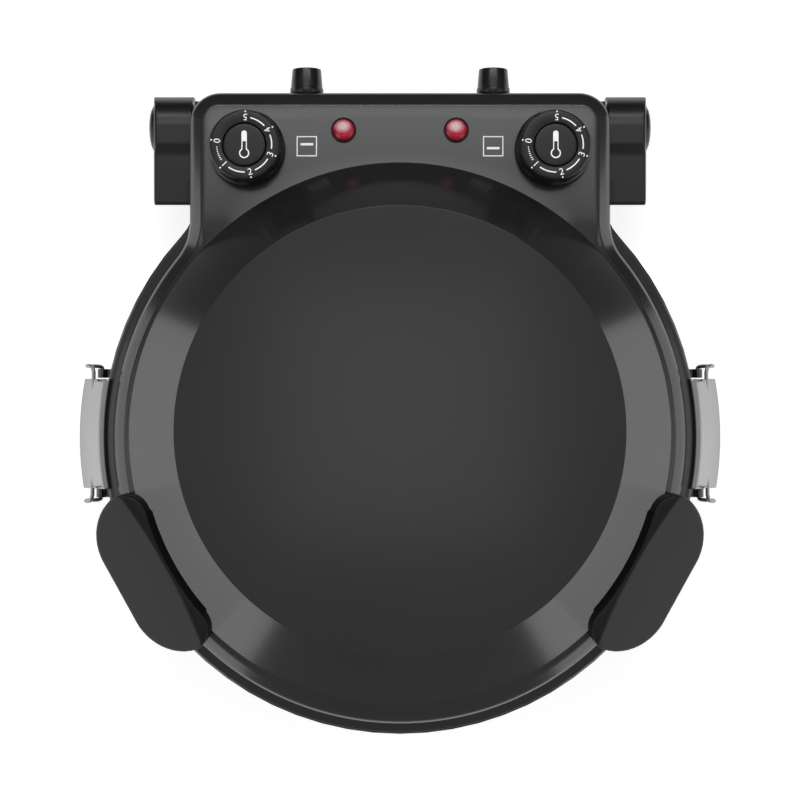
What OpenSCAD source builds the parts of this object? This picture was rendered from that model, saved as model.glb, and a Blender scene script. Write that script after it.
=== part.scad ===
// Electric pizza maker: a round base with a baking stone, a hinged lid with a console,
// side clips, and a heating element above and below the stone.
// Millimetres. +Z is up, +Y is the hinge side, and the feet stand on z = 0.

/* [Base] */
// Radius of the base's rim
rim_r = 184.3; // [170:1:200]
// Height of the base's rim above the table
rim_z = 74; // [68:1:84]
// Half width of the base's neck, between the hinge brackets
neck_half = 127.5; // [118:0.5:132]
// How far the flat back of the base lies behind the centre of the round part
neck_back = 175; // [174:0.5:175]
// Radius of the hollow where the neck meets the round part
neck_fillet = 30; // [20:1:40]
// Sheet thickness of the base and the lid
sheet = 1.5; // [1:0.1:2.5]
// Radius of the opening in the base's floor
floor_hole_r = 112; // [100:1:116]

/* [Feet] */
// Height of the feet
foot_h = 14; // [10:1:18]
// Radius of a foot where it stands
foot_r = 12.5; // [10:0.5:13]

/* [Stone] */
// Radius of the baking stone
stone_r = 151; // [144:0.5:151.5]
// Thickness of the baking stone
stone_t = 11; // [8:0.5:12]
// Diameter of a heating element's tube
tube_d = 7; // [6:0.5:8]
// Radius of the lower heating ring
lower_ring_r = 112; // [90:1:125]
// Radius of the upper heating ring
upper_ring_r = 100; // [80:1:110]

/* [Lid] */
// Radius of the lid cover's edge
cover_r = 176.2; // [174.6:0.1:178]
// Half width of the lid's console
console_half = 129.4; // [128.8:0.1:129.6]
// How far the console reaches behind the centre of the round part
console_back = 212; // [208:0.2:214]
// Corner radius of the console
console_corner = 19; // [14:1:24]
// Radius of the hollow where the console meets the round part
console_fillet = 34; // [26:1:40]
// Height of the shoulder above the table
shoulder_z = 95; // [92:0.5:98]
// Slope of the console's panel towards its back edge, in degrees
panel_slope = 3.5; // [0:0.5:5]
// Radius of the raised dome at its foot
dome_foot_r = 165.3; // [162:0.1:166]
// Radius of the flat top of the dome
dome_top_r = 134; // [125:1:140]
// Height of the dome's top above the table
dome_z = 130; // [124:1:140]
// How far the dome's top is set back from the lid's centre
dome_back = 5.3; // [0:0.1:6]

/* [Hinge] */
// How far the hinge pins lie behind the centre of the round part
pivot_y = 195; // [190:0.5:196]
// Height of the hinge pins above the table
pivot_z = 45; // [43:0.5:48]
// Radius of a hinge pin
pin_r = 4; // [3:0.5:5]
// Running clearance of a pin in the lid's cheeks
pin_gap = 0.06; // [0.02:0.01:0.1]
// Radius of a hinge bracket's barrel
barrel_r = 20; // [18:0.5:20]
// Gap between the lid's console and each hinge bracket
bracket_gap = 0.6; // [0.4:0.1:1.6]

/* [Knobs] */
// Distance of each knob from the middle
knob_x = 93.5; // [85:0.5:96]
// How far the knobs lie behind the centre of the round part
knob_y = 176.2; // [174:0.2:180]
// Radius of a knob's skirt
knob_r = 23.4; // [20:0.2:24]
// Height of a knob
knob_h = 19; // [14:0.5:24]
// Radius of a thermostat's spindle
spindle_r = 3; // [2.5:0.25:3.5]
// Distance of each lamp from the middle
lamp_x = 34.4; // [24:0.4:50]
// How far the lamps lie behind the centre of the round part
lamp_y = 187.7; // [184:0.1:190]
// Radius of a lamp's lens
lamp_r = 6.7; // [5:0.1:8]

/* [Handles] */
// Angle of each handle in front of the side, in degrees
handle_angle = 28.9; // [26:0.5:32]
// How far a handle reaches from the lid's centre
handle_out = 195.6; // [190:0.2:200]
// Radius of a handle's inner wall about the lid's centre
handle_wall_r = 157; // [155:0.5:160]
// Half the length of a handle
handle_half = 52; // [46:1:56]
// Height of a handle's top above the table
handle_z = 125; // [118:1:128]

/* [Clips] */
// Half the length of a clip's plate
clip_half = 34; // [28:1:36]
// Diameter of a clip's wire
wire_d = 2.5; // [2:0.1:3]
// How far the plate reaches from the centre of the base
clip_out = 200.4; // [198:0.2:206]
// How far the clips sit round towards the console, in degrees
clip_turn = 0.6; // [0:0.1:3]

/* [Posts] */
// Distance of each rear post from the middle
post_x = 58; // [45:1:70]
// Length of a post behind the console
post_len = 16.6; // [14:0.1:20]
// Radius of a post at the console
post_r = 10.4; // [8:0.2:11]
// Radius of a post at its tip
post_tip_r = 9; // [7:0.2:10]

/* [Hidden] */

$fn = 96;
gap = 0.3;            // clearance between pieces of different bodies
seat = 0.1;           // clearance between pieces that are fixed together
cut = 1;              // how far a cutting shape passes the face that it cuts

// The model stands with the middle of its whole outline over the origin.
post_tip_y = console_back + post_len;
centre_y = -(post_tip_y - rim_r) / 2;

painted = [0.27, 0.27, 0.28];
plastic = [0.13, 0.13, 0.13];
steel = [0.75, 0.75, 0.75];

// Colours and moves every piece into the shared frame.
module piece(shade) {
    color(shade)
        translate([0, centre_y, 0])
            children();
}

// The right-hand piece as drawn, or its mirror image on the left.
module on_side(side) {
    mirror([side < 0 ? 1 : 0, 0, 0])
        children();
}

module on_both_sides() {
    for (side = [-1, 1]) {
        on_side(side)
            children();
    }
}

module along_x(x0, x1) {
    translate([x0, 0, 0])
        rotate([90, 0, 90])
            linear_extrude(x1 - x0)
                children();
}

module along_y(y0, y1) {
    translate([0, y1, 0])
        rotate([90, 0, 0])
            linear_extrude(y1 - y0)
                children();
}

// ---- Outlines: a circle with a square-shouldered neck towards +Y ----

arc_steps = 52;
fillet_steps = 4;
side_steps = 2;
corner_steps = 5;
back_steps = 11;

function arc(c, r, a0, a1, steps) =
    [for (i = [0:steps]) c + r * [cos(a0 + (a1 - a0) * i / steps), sin(a0 + (a1 - a0) * i / steps)]];

// The points between two points, without the ends.
function between(a, b, steps) = [for (i = [1:steps - 1]) a + (b - a) * i / steps];

// An outline of one shape at any inset: the radius shrinks, and the hollow at the neck grows.
function keyhole(r, half, back, corner, fillet) =
    let (
        fillet_y = sqrt(pow(r + fillet, 2) - pow(half + fillet, 2)),
        turn = atan2(fillet_y, half + fillet),
        round_c = max(corner, 0.5),
        right_foot = [half, fillet_y],
        right_top = [half, back - round_c],
        left_foot = [-half, fillet_y],
        left_top = [-half, back - round_c],
        back_right = [half - round_c, back],
        back_left = [-half + round_c, back],
        front = arc([0, 0], r, 180 - turn, 360 + turn, arc_steps)
    )
    concat(
        arc([half + fillet, fillet_y], fillet, 180 + turn, 180, fillet_steps),
        between(right_foot, right_top, side_steps),
        arc([half - round_c, back - round_c], round_c, 0, 90, corner_steps),
        between(back_right, back_left, back_steps),
        arc([-half + round_c, back - round_c], round_c, 90, 180, corner_steps),
        between(left_top, left_foot, side_steps),
        arc([-half - fillet, fillet_y], fillet, 0, -turn, fillet_steps),
        [for (i = [1:arc_steps - 1]) front[i]]
    );

neck_corner = 10;
function base_outline(inset) =
    keyhole(rim_r - inset, neck_half - inset, neck_back - inset, neck_corner - inset, neck_fillet + inset);

function cover_outline(inset) =
    keyhole(cover_r - inset, console_half - inset, console_back - inset,
            console_corner - inset, console_fillet + inset);

// The lid's frame lies on the base's rim and stays a little inside it.
frame_inset = 1.5;
function frame_outline(inset) = base_outline(frame_inset + inset);

cover_edge = cover_outline(0);
edge_angles = [for (p = cover_edge) atan2(p.y, p.x)];
points = len(cover_edge);

function at_height(outline, z) = [for (p = outline) [p.x, p.y, z]];

// A circle with one point for each point of the outlines, at a height or a list of heights.
function round_ring(r, back, z) =
    [for (i = [0:points - 1])
        [r * cos(edge_angles[i]), back + r * sin(edge_angles[i]), is_list(z) ? z[i] : z]];

// One closed skin over a stack of rings, capped at both ends, or joined end to end.
module skin(rings, joined = false) {
    count = len(rings);
    last = joined ? count - 1 : count - 2;
    sides = [for (j = [0:last]) for (i = [0:points - 1]) each
        let (
            k = (j + 1) % count,
            a = j * points + i,
            b = j * points + (i + 1) % points,
            c = k * points + (i + 1) % points,
            d = k * points + i
        )
        [[a, c, b], [a, d, c]]];
    caps = joined ? [] : [
        [for (i = [0:points - 1]) i],
        [for (i = [points - 1:-1:0]) (count - 1) * points + i]
    ];
    polyhedron([for (ring = rings) for (p = ring) p], concat(sides, caps), convexity = 10);
}

// ---- Base ----

floor_z = foot_h;
wall_inset = 11.9;        // how far the wall stands inside the rim, at wall_z
wall_z = 56;
low_inset = 13.5;         // the same at low_z, where the wall starts to turn in
low_z = 35.5;
rim_lip = 3;              // height of the rolled edge
deck_r = stone_r + 9.6;     // radius of the opening for the heat pan
bowl_turn_r = 158;
bowl_turn_z = floor_z + 5.5;
cover_plate_r = floor_hole_r + 9;
foot_pitch_r = cover_plate_r + foot_r + 0.4;
foot_top_r = foot_r - 2;
bowl_floor_r = foot_pitch_r + foot_top_r + 0.5;

// Inset of the outer face of the wall at a height.
function wall_at(z) = wall_inset + (low_inset - wall_inset) * (wall_z - z) / (wall_z - low_z);

module base_skin() {
    skin([
        at_height(base_outline(0), rim_z - rim_lip),
        at_height(base_outline(0), rim_z - 1),
        at_height(base_outline(1), rim_z),
        round_ring(deck_r, 0, rim_z),
        round_ring(deck_r, 0, rim_z - sheet),
        at_height(base_outline(wall_at(rim_z) + sheet), rim_z - sheet),
        at_height(base_outline(wall_inset + sheet), wall_z),
        at_height(base_outline(low_inset + sheet), low_z + 0.5),
        round_ring(bowl_turn_r - sheet, 0, bowl_turn_z + 1),
        round_ring(bowl_floor_r - 1, 0, floor_z + sheet),
        round_ring(floor_hole_r, 0, floor_z + sheet),
        round_ring(floor_hole_r, 0, floor_z),
        round_ring(bowl_floor_r, 0, floor_z),
        round_ring(bowl_turn_r, 0, bowl_turn_z),
        at_height(base_outline(low_inset), low_z),
        at_height(base_outline(wall_inset), wall_z),
        at_height(base_outline(wall_at(rim_z)), rim_z - sheet),
        at_height(base_outline(sheet), rim_z - sheet),
        at_height(base_outline(sheet), rim_z - rim_lip)
    ], joined = true);
}

bush_x = 60;
bush_z = 55;
bush_hole_r = 3.6;
bush_r = 6;
bush_flange_r = 9;
bush_len = 14;
bush_y = neck_back - wall_at(bush_z);

module base_bowl() {
    piece(painted)
        difference() {
            base_skin();
            translate([bush_x, bush_y + 4, bush_z])
                rotate([90, 0, 0])
                    cylinder(r = bush_r + seat, h = 12);
            on_both_sides()
                for (y = bracket_screw_y) {
                    translate([neck_half - wall_inset - 10, y, bracket_screw_z])
                        rotate([0, 90, 0])
                            cylinder(r = 2.2, h = 14);
                }
        }
}

module cord_bush() {
    piece(plastic)
        translate([bush_x, bush_y, bush_z])
            rotate([-90, 0, 0])
                difference() {
                    union() {
                        translate([0, 0, -4])
                            cylinder(r = bush_r, h = bush_len - 2);
                        translate([0, 0, 1])
                            cylinder(r = bush_flange_r, h = 3);
                    }
                    translate([0, 0, -4 - cut])
                        cylinder(r = bush_hole_r, h = bush_len + 2 * cut);
                }
}

cover_plate_t = 1.2;
bottom_screw_r = floor_hole_r + 4.5;
slot_w = 5;
slot_rings = [52, 78];

module bottom_cover() {
    piece(plastic)
        difference() {
            translate([0, 0, floor_z - cover_plate_t])
                cylinder(r = cover_plate_r, h = cover_plate_t);
            for (r = slot_rings) {
                for (i = [0:11]) {
                    rotate([0, 0, i * 30 + 15])
                        translate([r, -slot_w / 2, floor_z - cover_plate_t - cut])
                            cube([18, slot_w, cover_plate_t + 2 * cut]);
                }
            }
            for (i = [0:3]) {
                rotate([0, 0, i * 90])
                    translate([bottom_screw_r, 0, floor_z - cover_plate_t - cut])
                        cylinder(r = 2, h = cover_plate_t + 2 * cut);
            }
        }
}

// A pan-head screw whose head rests on z = 0 and whose shank points up.
module screw(shank_r, shank, head_r, head_h) {
    difference() {
        union() {
            translate([0, 0, -head_h])
                cylinder(r = head_r, h = head_h);
            cylinder(r = shank_r, h = shank);
        }
        translate([0, 0, -head_h - cut])
            cylinder(r = head_r * 0.45, h = cut + head_h * 0.5, $fn = 6);
    }
}

module bottom_screws() {
    piece(steel)
        for (i = [0:3]) {
            rotate([0, 0, i * 90])
                translate([bottom_screw_r, 0, floor_z - cover_plate_t])
                    screw(1.9, cover_plate_t - 0.02, 3.4, 2);
        }
}

foot_angles = [45, 135, 225, 315];

module feet() {
    piece([0.1, 0.1, 0.1])
        for (a = foot_angles) {
            rotate([0, 0, a])
                translate([foot_pitch_r, 0, 0])
                    rotate_extrude()
                        polygon([
                            [5.5, 0], [foot_r - 1, 0], [foot_r, 1], [foot_top_r, foot_h],
                            [2.2, foot_h], [2.2, 5], [5.5, 5]
                        ]);
        }
}

module foot_screws() {
    piece(steel)
        for (a = foot_angles) {
            rotate([0, 0, a])
                translate([foot_pitch_r, 0, 5])
                    screw(2.1, foot_h - 5.02, 4.4, 2.2);
        }
}

// ---- Heat pan, elements and stone ----

pan_t = 1;
pan_lip_r = deck_r + 1.8;
pan_wall_r = deck_r - 1.3;
pan_draft = 1.2;               // how far the wall leans in on its way down
ledge_z = rim_z - 13;          // underside of the ledge that carries the stone
ledge_in_r = stone_r - 4;
pan_floor_r = lower_ring_r + 31;
pan_floor_z = floor_z + 20;
element_z = pan_floor_z + 12;
lower_pin_x = 12;

module heat_pan() {
    piece([0.7, 0.7, 0.7])
        difference() {
            rotate_extrude()
                polygon([
                    [0, pan_floor_z], [pan_floor_r, pan_floor_z], [ledge_in_r, ledge_z],
                    [pan_wall_r - pan_draft + pan_t, ledge_z], [pan_wall_r + pan_t, rim_z], [pan_lip_r, rim_z],
                    [pan_lip_r, rim_z + 0.8], [pan_wall_r, rim_z + 0.8],
                    [pan_wall_r - pan_draft, ledge_z + pan_t], [ledge_in_r - 0.6, ledge_z + pan_t],
                    [pan_floor_r - 0.6, pan_floor_z + pan_t], [0, pan_floor_z + pan_t]
                ]);
            for (x = [-lower_pin_x, lower_pin_x]) {
                translate([x, pan_floor_r + 20, element_z])
                    rotate([90, 0, 0])
                        cylinder(r = tube_d / 2 + 0.5, h = 30);
            }
        }
}

bend_swell = 0.15;             // how much thicker the tube is where it turns outwards

// A heating ring open at the back, with two ends that run out through the pan.
module element(r, z, reach, pin_x) {
    opening = asin(pin_x / r);
    translate([0, 0, z]) {
        rotate([0, 0, 90 + opening])
            rotate_extrude(angle = 360 - 2 * opening)
                translate([r, 0])
                    circle(r = tube_d / 2);
        for (x = [-pin_x, pin_x]) {
            translate([x, r * cos(opening), 0]) {
                sphere(r = tube_d / 2 + bend_swell);
                rotate([-90, 0, 0])
                    cylinder(r = tube_d / 2, h = reach - r);
                rotate([-90, 0, 0])
                    cylinder(r = 1.5, h = reach - r + 8);
            }
        }
    }
}

module lower_element() {
    piece([0.35, 0.35, 0.34])
        element(lower_ring_r, element_z, pan_floor_r + 8, lower_pin_x);
}

// A saddle that holds an element's tube off the sheet below or above it.
module saddle(r, z, sheet_z) {
    up = sheet_z < z ? 1 : -1;
    half_w = tube_d / 2 + 2;
    for (a = [-30, 90, 210]) {
        rotate([0, 0, a - 90])
            translate([0, -r, 0])
                difference() {
                    translate([-4, -half_w, up > 0 ? sheet_z : z - half_w])
                        cube([8, 2 * half_w, abs(z - sheet_z) + half_w]);
                    translate([-4 - cut, 0, z])
                        rotate([0, 90, 0])
                            cylinder(r = tube_d / 2 + 0.4, h = 8 + 2 * cut);
                    translate([-4 - cut, -half_w + 1, up > 0 ? sheet_z + 1 : z])
                        cube([8 + 2 * cut, 2 * half_w - 2, abs(z - sheet_z) - 1]);
                }
    }
}

module lower_element_clips() {
    piece(steel)
        saddle(lower_ring_r, element_z, pan_floor_z + pan_t);
}

stone_z = ledge_z + pan_t;
stone_bevel = 1.5;

module baking_stone() {
    piece([0.8, 0.72, 0.6])
        rotate_extrude()
            polygon([
                [0, stone_z], [stone_r - stone_bevel, stone_z], [stone_r, stone_z + stone_bevel],
                [stone_r, stone_z + stone_t - stone_bevel],
                [stone_r - stone_bevel, stone_z + stone_t], [0, stone_z + stone_t]
            ]);
}

stone_clip_t = 1;
stone_clip_w = 14;
stone_clip_angles = [40, 140, 220, 320];

module stone_clips() {
    top = stone_z + stone_t + seat;
    riser = stone_r + 0.6;
    foot_end = pan_wall_r - pan_draft - 0.6;
    piece(steel)
        for (a = stone_clip_angles) {
            rotate([0, 0, a]) {
                along_y(-stone_clip_w / 2, stone_clip_w / 2)
                    polygon([
                        [stone_r - 4, top], [riser, top], [riser, stone_z], [foot_end, stone_z],
                        [foot_end, stone_z + stone_clip_t], [riser + stone_clip_t, stone_z + stone_clip_t],
                        [riser + stone_clip_t, top + stone_clip_t], [stone_r - 4, top + stone_clip_t]
                    ]);
                translate([riser + 3.6, 0, stone_z + stone_clip_t])
                    cylinder(r = 1.9, h = 1.4);
            }
        }
}

// ---- Hinge ----

bracket_in = console_half + bracket_gap;
bracket_front = 144.8;       // front end of the bracket's arm
arm_top = pivot_z + barrel_r - 1.8;
arm_low = pivot_z - 11;
bracket_top_x = bracket_in + 23.4;  // outer face at the barrel's top
bracket_draft = 7.8;         // how far the outer face leans out towards its foot, in degrees
boss_r = 14;
boss_out = bracket_in + 28.6;
block_y0 = 147;
block_y1 = 161;
block_z0 = 42;
block_z1 = 64;
bracket_screw_z = (block_z0 + block_z1) / 2;
bracket_screw_y = [block_y0 + 3.8, block_y0 + 10.2];

module bracket_side_view() {
    translate([pivot_y, pivot_z])
        circle(r = barrel_r);
    polygon([
        [bracket_front + 8, arm_low], [bracket_front + 5, arm_low + 4], [bracket_front, arm_top - 1.6],
        [bracket_front + 1.2, arm_top], [pivot_y - 18, arm_top], [pivot_y - 12, pivot_z + barrel_r],
        [pivot_y, pivot_z + barrel_r], [pivot_y, pivot_z - barrel_r]
    ]);
}

module bracket(side) {
    piece(plastic)
        on_side(side) {
            difference() {
                union() {
                    difference() {
                        along_x(bracket_in, boss_out + 4)
                            bracket_side_view();
                        translate([bracket_top_x, bracket_front - cut, pivot_z + barrel_r])
                            rotate([0, -bracket_draft, 0])
                                translate([0, 0, -3 * barrel_r])
                                    cube([40, 100, 4 * barrel_r]);
                    }
                    // A low dome over the end of the pin.
                    translate([boss_out - 6, pivot_y, pivot_z])
                        rotate([0, 90, 0])
                            rotate_extrude()
                                polygon([[0, 0], [boss_r, 0], [boss_r, 3.6], [boss_r - 1.5, 4.5],
                                         [boss_r - 4.5, 5.4], [boss_r - 9, 5.9], [0, 6]]);
                    // The block that stands on the neck's wall.
                    along_y(block_y0, block_y1)
                        polygon([
                            [bracket_in + cut, block_z0],
                            [neck_half - wall_at(block_z0) + seat, block_z0],
                            [neck_half - wall_at(block_z1) + seat, block_z1],
                            [bracket_in + cut, block_z1]
                        ]);
                }
                translate([bracket_in - cut, pivot_y, pivot_z])
                    rotate([0, 90, 0])
                        cylinder(r = pin_r, h = 22 + cut);
                for (y = bracket_screw_y) {
                    translate([neck_half - wall_inset - 10, y, bracket_screw_z])
                        rotate([0, 90, 0])
                            cylinder(r = 2.1, h = 22);
                }
            }
        }
}

module left_bracket() {
    bracket(-1);
}

module right_bracket() {
    bracket(1);
}

module bracket_screws() {
    piece(steel)
        on_both_sides()
            for (y = bracket_screw_y) {
                translate([neck_half - wall_at(bracket_screw_z) - sheet - 2 * gap, y, bracket_screw_z])
                    rotate([0, 90, 0])
                        screw(2, 12, 2.8, 2);
            }
}

cheek_in = 112;              // inner face of the lid's cheeks
pin_x0 = cheek_in - 2;
pin_x1 = bracket_in + 22;

module hinge_pins() {
    piece(steel)
        on_both_sides()
            translate([pin_x0, pivot_y, pivot_z])
                rotate([0, 90, 0])
                    cylinder(r = pin_r, h = pin_x1 - pin_x0);
}

// ---- Clips: a wire swings in two ears on the base, and carries a plate with a claw ----

ear_r = 3;
ear_y0 = clip_half + 1;
ear_y1 = clip_half + 6.5;
ear_x = 188.5;               // the axis that the wire swings about
ear_z = 50;
wire_x = 191;                // the axis that the plate turns about
wire_z = 69.8;
leg_y = ear_y1 + 0.4 + wire_d / 2;
leg_bow = 4.5;               // how far the wire's legs bow outwards
wire_gap = 0.08;
wire_step = 0.03;             // how much thinner the wire is between its bends
claw_x = rim_r - 2.1;
claw_z = rim_z + 2;
plate_t = 1.1;
bend_x = claw_x + 3.7;
crest_z = claw_z + 3;
hem_z = crest_z - 16.5;
ear_wall_x = rim_r - wall_at(ear_z);

// The right-hand clip turned round to its place, or its mirror image on the left.
module clip_side(side) {
    on_side(side)
        rotate([0, 0, clip_turn])
            children();
}

module clip_base(side) {
    plate_half = ear_y1;
    piece(steel)
        clip_side(side) {
            difference() {
                union() {
                    for (y = [-ear_y1, ear_y0]) {
                        along_y(y, y + ear_y1 - ear_y0) {
                            translate([ear_x, ear_z])
                                circle(r = ear_r);
                            translate([ear_wall_x - 1, ear_z - ear_r])
                                square([ear_x - ear_wall_x + 1, 1.6]);
                        }
                    }
                    intersection() {
                        translate([0, 0, ear_z - 8])
                            difference() {
                                cylinder(r = ear_wall_x + 1.5, h = 16);
                                translate([0, 0, -cut])
                                    cylinder(r1 = rim_r - wall_at(ear_z - 8 - cut) + seat,
                                             r2 = rim_r - wall_at(ear_z + 8 + cut) + seat, h = 16 + 2 * cut);
                            }
                        translate([100, -plate_half, ear_z - 9])
                            cube([100, 2 * plate_half, 18]);
                    }
                }
                for (y = [-ear_y1 - cut, ear_y0 - cut]) {
                    translate([ear_x, y + ear_y1 - ear_y0 + 2 * cut, ear_z])
                        rotate([90, 0, 0])
                            cylinder(r = wire_d / 2 + wire_gap, h = ear_y1 - ear_y0 + 2 * cut);
                }
            }
        }
}

module left_clip_base() {
    clip_base(-1);
}

module right_clip_base() {
    clip_base(1);
}

rivet_angles = [-8, 8];

module clip_rivets() {
    piece(steel)
        on_both_sides()
            for (a = rivet_angles) {
                rotate([0, 0, a + clip_turn])
                    translate([ear_wall_x + 1.5, 0, ear_z])
                        rotate([0, 90, 0])
                            rotate_extrude()
                                polygon([[0, 0], [2.6, 0], [1.8, 1.1], [0, 1.5]]);
            }
}

// One straight stretch of wire, which runs past both of its ends.
module wire(from, to, thin, past) {
    run = to - from;
    translate(from - run / norm(run) * past)
        rotate([0, acos(run.z / norm(run)), atan2(run.y, run.x)])
            cylinder(r = wire_d / 2 - thin, h = norm(run) + 2 * past);
}

module clip_wire(side) {
    wire_r = wire_d / 2;
    piece(steel)
        clip_side(side) {
            wire([wire_x, -leg_y, wire_z], [wire_x, leg_y, wire_z], 0, wire_r);
            for (s = [-1, 1]) {
                y = s * leg_y;
                bow_x = wire_x + leg_bow;
                wire([wire_x, y, wire_z], [bow_x, y, wire_z - 4], wire_step, 0);
                wire([bow_x, y, wire_z - 4], [bow_x, y, ear_z + 8], 0, wire_r * 0.4);
                wire([bow_x, y, ear_z + 8], [ear_x, y, ear_z], wire_step, 0);
                wire([ear_x, y + s * wire_r, ear_z], [ear_x, s * (ear_y0 + 0.6), ear_z], 0, 0);
            }
        }
}

module left_clip_wire() {
    clip_wire(-1);
}

module right_clip_wire() {
    clip_wire(1);
}

module clip_lever(side) {
    piece(steel)
        clip_side(side)
            difference() {
                intersection() {
                    union() {
                        // The pressed plate: claw, crest, slope and hem, bent round the base.
                        rotate_extrude()
                            polygon([
                                [claw_x, claw_z], [claw_x, crest_z - 1.4], [claw_x + 1.4, crest_z],
                                [bend_x, crest_z], [clip_out, hem_z + 1.4], [clip_out, hem_z - 1],
                                [clip_out - plate_t, hem_z - 1], [clip_out - plate_t, hem_z + 0.9],
                                [bend_x - 0.5, crest_z - plate_t], [claw_x + plate_t, crest_z - plate_t],
                                [claw_x + plate_t, claw_z]
                            ]);
                        // The two ends that hang on the wire.
                        for (s = [-1, 1]) {
                            translate([0, s * (clip_half - plate_t / 2 - 0.2), 0])
                                along_y(-plate_t / 2, plate_t / 2)
                                    polygon([
                                        [wire_x - 4, wire_z + 1], [wire_x - 3, wire_z - 2.6],
                                        [wire_x + 2.4, wire_z - 2.6], [clip_out - 5.5, hem_z + 1],
                                        [bend_x + 2.2, crest_z - 3], [wire_x - 4, crest_z - 0.6]
                                    ]);
                        }
                    }
                    translate([150, -clip_half, hem_z - 10])
                        cube([80, 2 * clip_half, 60]);
                }
                translate([wire_x, clip_half + cut, wire_z])
                    rotate([90, 0, 0])
                        cylinder(r = wire_d / 2 + wire_gap, h = 2 * clip_half + 2 * cut);
            }
}

module left_clip_lever() {
    clip_lever(-1);
}

module right_clip_lever() {
    clip_lever(1);
}

// ---- Lid ----

cover_low = rim_z + 6;
panel_front = 130;
foot_back = 1.4;             // how far the foot of the dome is set back
panel_rise = 1;              // how far the console's panel stands over the ring round the dome
panel_inset = 9.2;

// Height of the shoulder round the lid, which falls along the console.
function crease_z(y) = shoulder_z - max(0, y - panel_front) * tan(panel_slope);

// A ring of the rolled edge: share 0 is the lower edge, and 1 the shoulder.
function roll_ring(inset, share, drop = 0) =
    [for (p = cover_outline(inset)) [p.x, p.y, cover_low + (crease_z(p.y) - cover_low) * share - drop]];

function outside_foot(p, r) =
    let (v = p - [0, foot_back])
    norm(v) < r ? [0, foot_back] + v * r / norm(v) : p;

function on_console(p) = norm(p - [0, foot_back]) > dome_foot_r + 3.5;

panel_points = [for (p = cover_outline(panel_inset)) outside_foot(p, dome_foot_r + 0.5)];
console_flags = [for (p = cover_outline(panel_inset)) on_console(p) ? 1 : 0];

foot_heights = [for (i = [0:points - 1])
    crease_z(foot_back + dome_foot_r * sin(edge_angles[i])) + panel_rise * (console_flags[i] - 0.4)];

// The dome's side: radius as a share of its width, height as a share of its rise.
function dome_ring(share_r, share_z, lift = 0, shrink = 0) =
    round_ring(dome_foot_r + (dome_top_r - dome_foot_r) * share_r - shrink,
               foot_back + (dome_back - foot_back) * share_r,
               shoulder_z + (dome_z - shoulder_z) * share_z + lift);

crown_r = 60;
crown = 1.3;

module cover_skin() {
    skin([
        round_ring(crown_r, dome_back, dome_z + crown - sheet),
        dome_ring(1, 1, -sheet, 0.9),
        round_ring(dome_foot_r - 1, foot_back, [for (z = foot_heights) z - sheet]),
        roll_ring(9.4, 1, sheet + 0.4),
        roll_ring(7.6, 0.9, sheet + 0.4),
        roll_ring(2.6, 0.61, sheet + 0.4),
        roll_ring(sheet, 0.2),
        roll_ring(sheet, 0),
        roll_ring(0, 0),
        roll_ring(0, 0.24),
        roll_ring(0.6, 0.41),
        roll_ring(2, 0.58),
        roll_ring(7.6, 0.9),
        [for (i = [0:points - 1])
            [panel_points[i].x, panel_points[i].y,
             crease_z(panel_points[i].y) + panel_rise * (console_flags[i] - 0.4)]],
        round_ring(dome_foot_r, foot_back, foot_heights),
        dome_ring(0.98, 0.98),
        dome_ring(1, 1, 0, 0.7),
        round_ring(crown_r, dome_back, dome_z + crown)
    ]);
}

spindle_hole_r = spindle_r + 1.5;
holder_r = lamp_r - 1.2;
bezel_r = lamp_r + 1;

module lid_cover() {
    piece(painted)
        difference() {
            cover_skin();
            on_both_sides() {
                translate([knob_x, knob_y, 70])
                    cylinder(r = spindle_hole_r, h = 40);
                translate([lamp_x, lamp_y, 70])
                    cylinder(r = holder_r + gap, h = 40);
                rotate([0, 0, -handle_angle])
                    for (p = handle_screw_spots) {
                        translate([p.x, p.y, handle_screw_z])
                            cylinder(r = 2.2, h = 8);
                    }
            }
        }
}

frame_low = rim_z + gap;
flange_top = frame_low + 1.2;
frame_high = cover_low + 3;
frame_wall = 8.5;            // inset of the frame's upright wall
frame_wall_t = 1.2;

module lid_frame() {
    piece(painted)
        skin([
            at_height(frame_outline(0), frame_low),
            at_height(frame_outline(0), frame_low + 0.7),
            at_height(frame_outline(0.6), flange_top),
            at_height(frame_outline(6), flange_top + 1.4),
            at_height(frame_outline(frame_wall), cover_low - 1),
            at_height(frame_outline(frame_wall), frame_high),
            at_height(frame_outline(frame_wall + frame_wall_t), frame_high),
            at_height(frame_outline(frame_wall + frame_wall_t), flange_top + 2),
            at_height(frame_outline(5), frame_low + 1.2),
            at_height(frame_outline(1.2), frame_low)
        ], joined = true);
}

dish_t = 0.8;
dish_flange_r = neck_back - frame_inset - frame_wall - frame_wall_t - 0.35;
dish_z = rim_z + 4;
dish_in_r = dish_flange_r - 5;
dish_top_r = dome_top_r - 6;
dish_top_z = dome_z - 11;
upper_z = dish_top_z - 12;
upper_pin_x = 12;

module lid_dish() {
    piece([0.75, 0.75, 0.75])
        difference() {
            rotate_extrude()
                polygon([
                    [dish_flange_r, dish_z], [dish_flange_r, dish_z + dish_t], [dish_in_r + 0.6, dish_z + dish_t],
                    [dish_top_r + 0.6, dish_top_z + dish_t], [0, dish_top_z + dish_t], [0, dish_top_z],
                    [dish_top_r, dish_top_z], [dish_in_r, dish_z]
                ]);
            for (x = [-upper_pin_x, upper_pin_x]) {
                translate([x, dish_in_r, upper_z])
                    rotate([90, 0, 0])
                        cylinder(r = tube_d / 2 + 0.5, h = dish_in_r - upper_ring_r - tube_d);
            }
        }
}

module upper_element() {
    piece([0.35, 0.35, 0.34])
        element(upper_ring_r, upper_z, dish_top_r + 7, upper_pin_x);
}

module upper_element_clips() {
    piece(steel)
        saddle(upper_ring_r, upper_z, dish_top_z);
}

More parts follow.
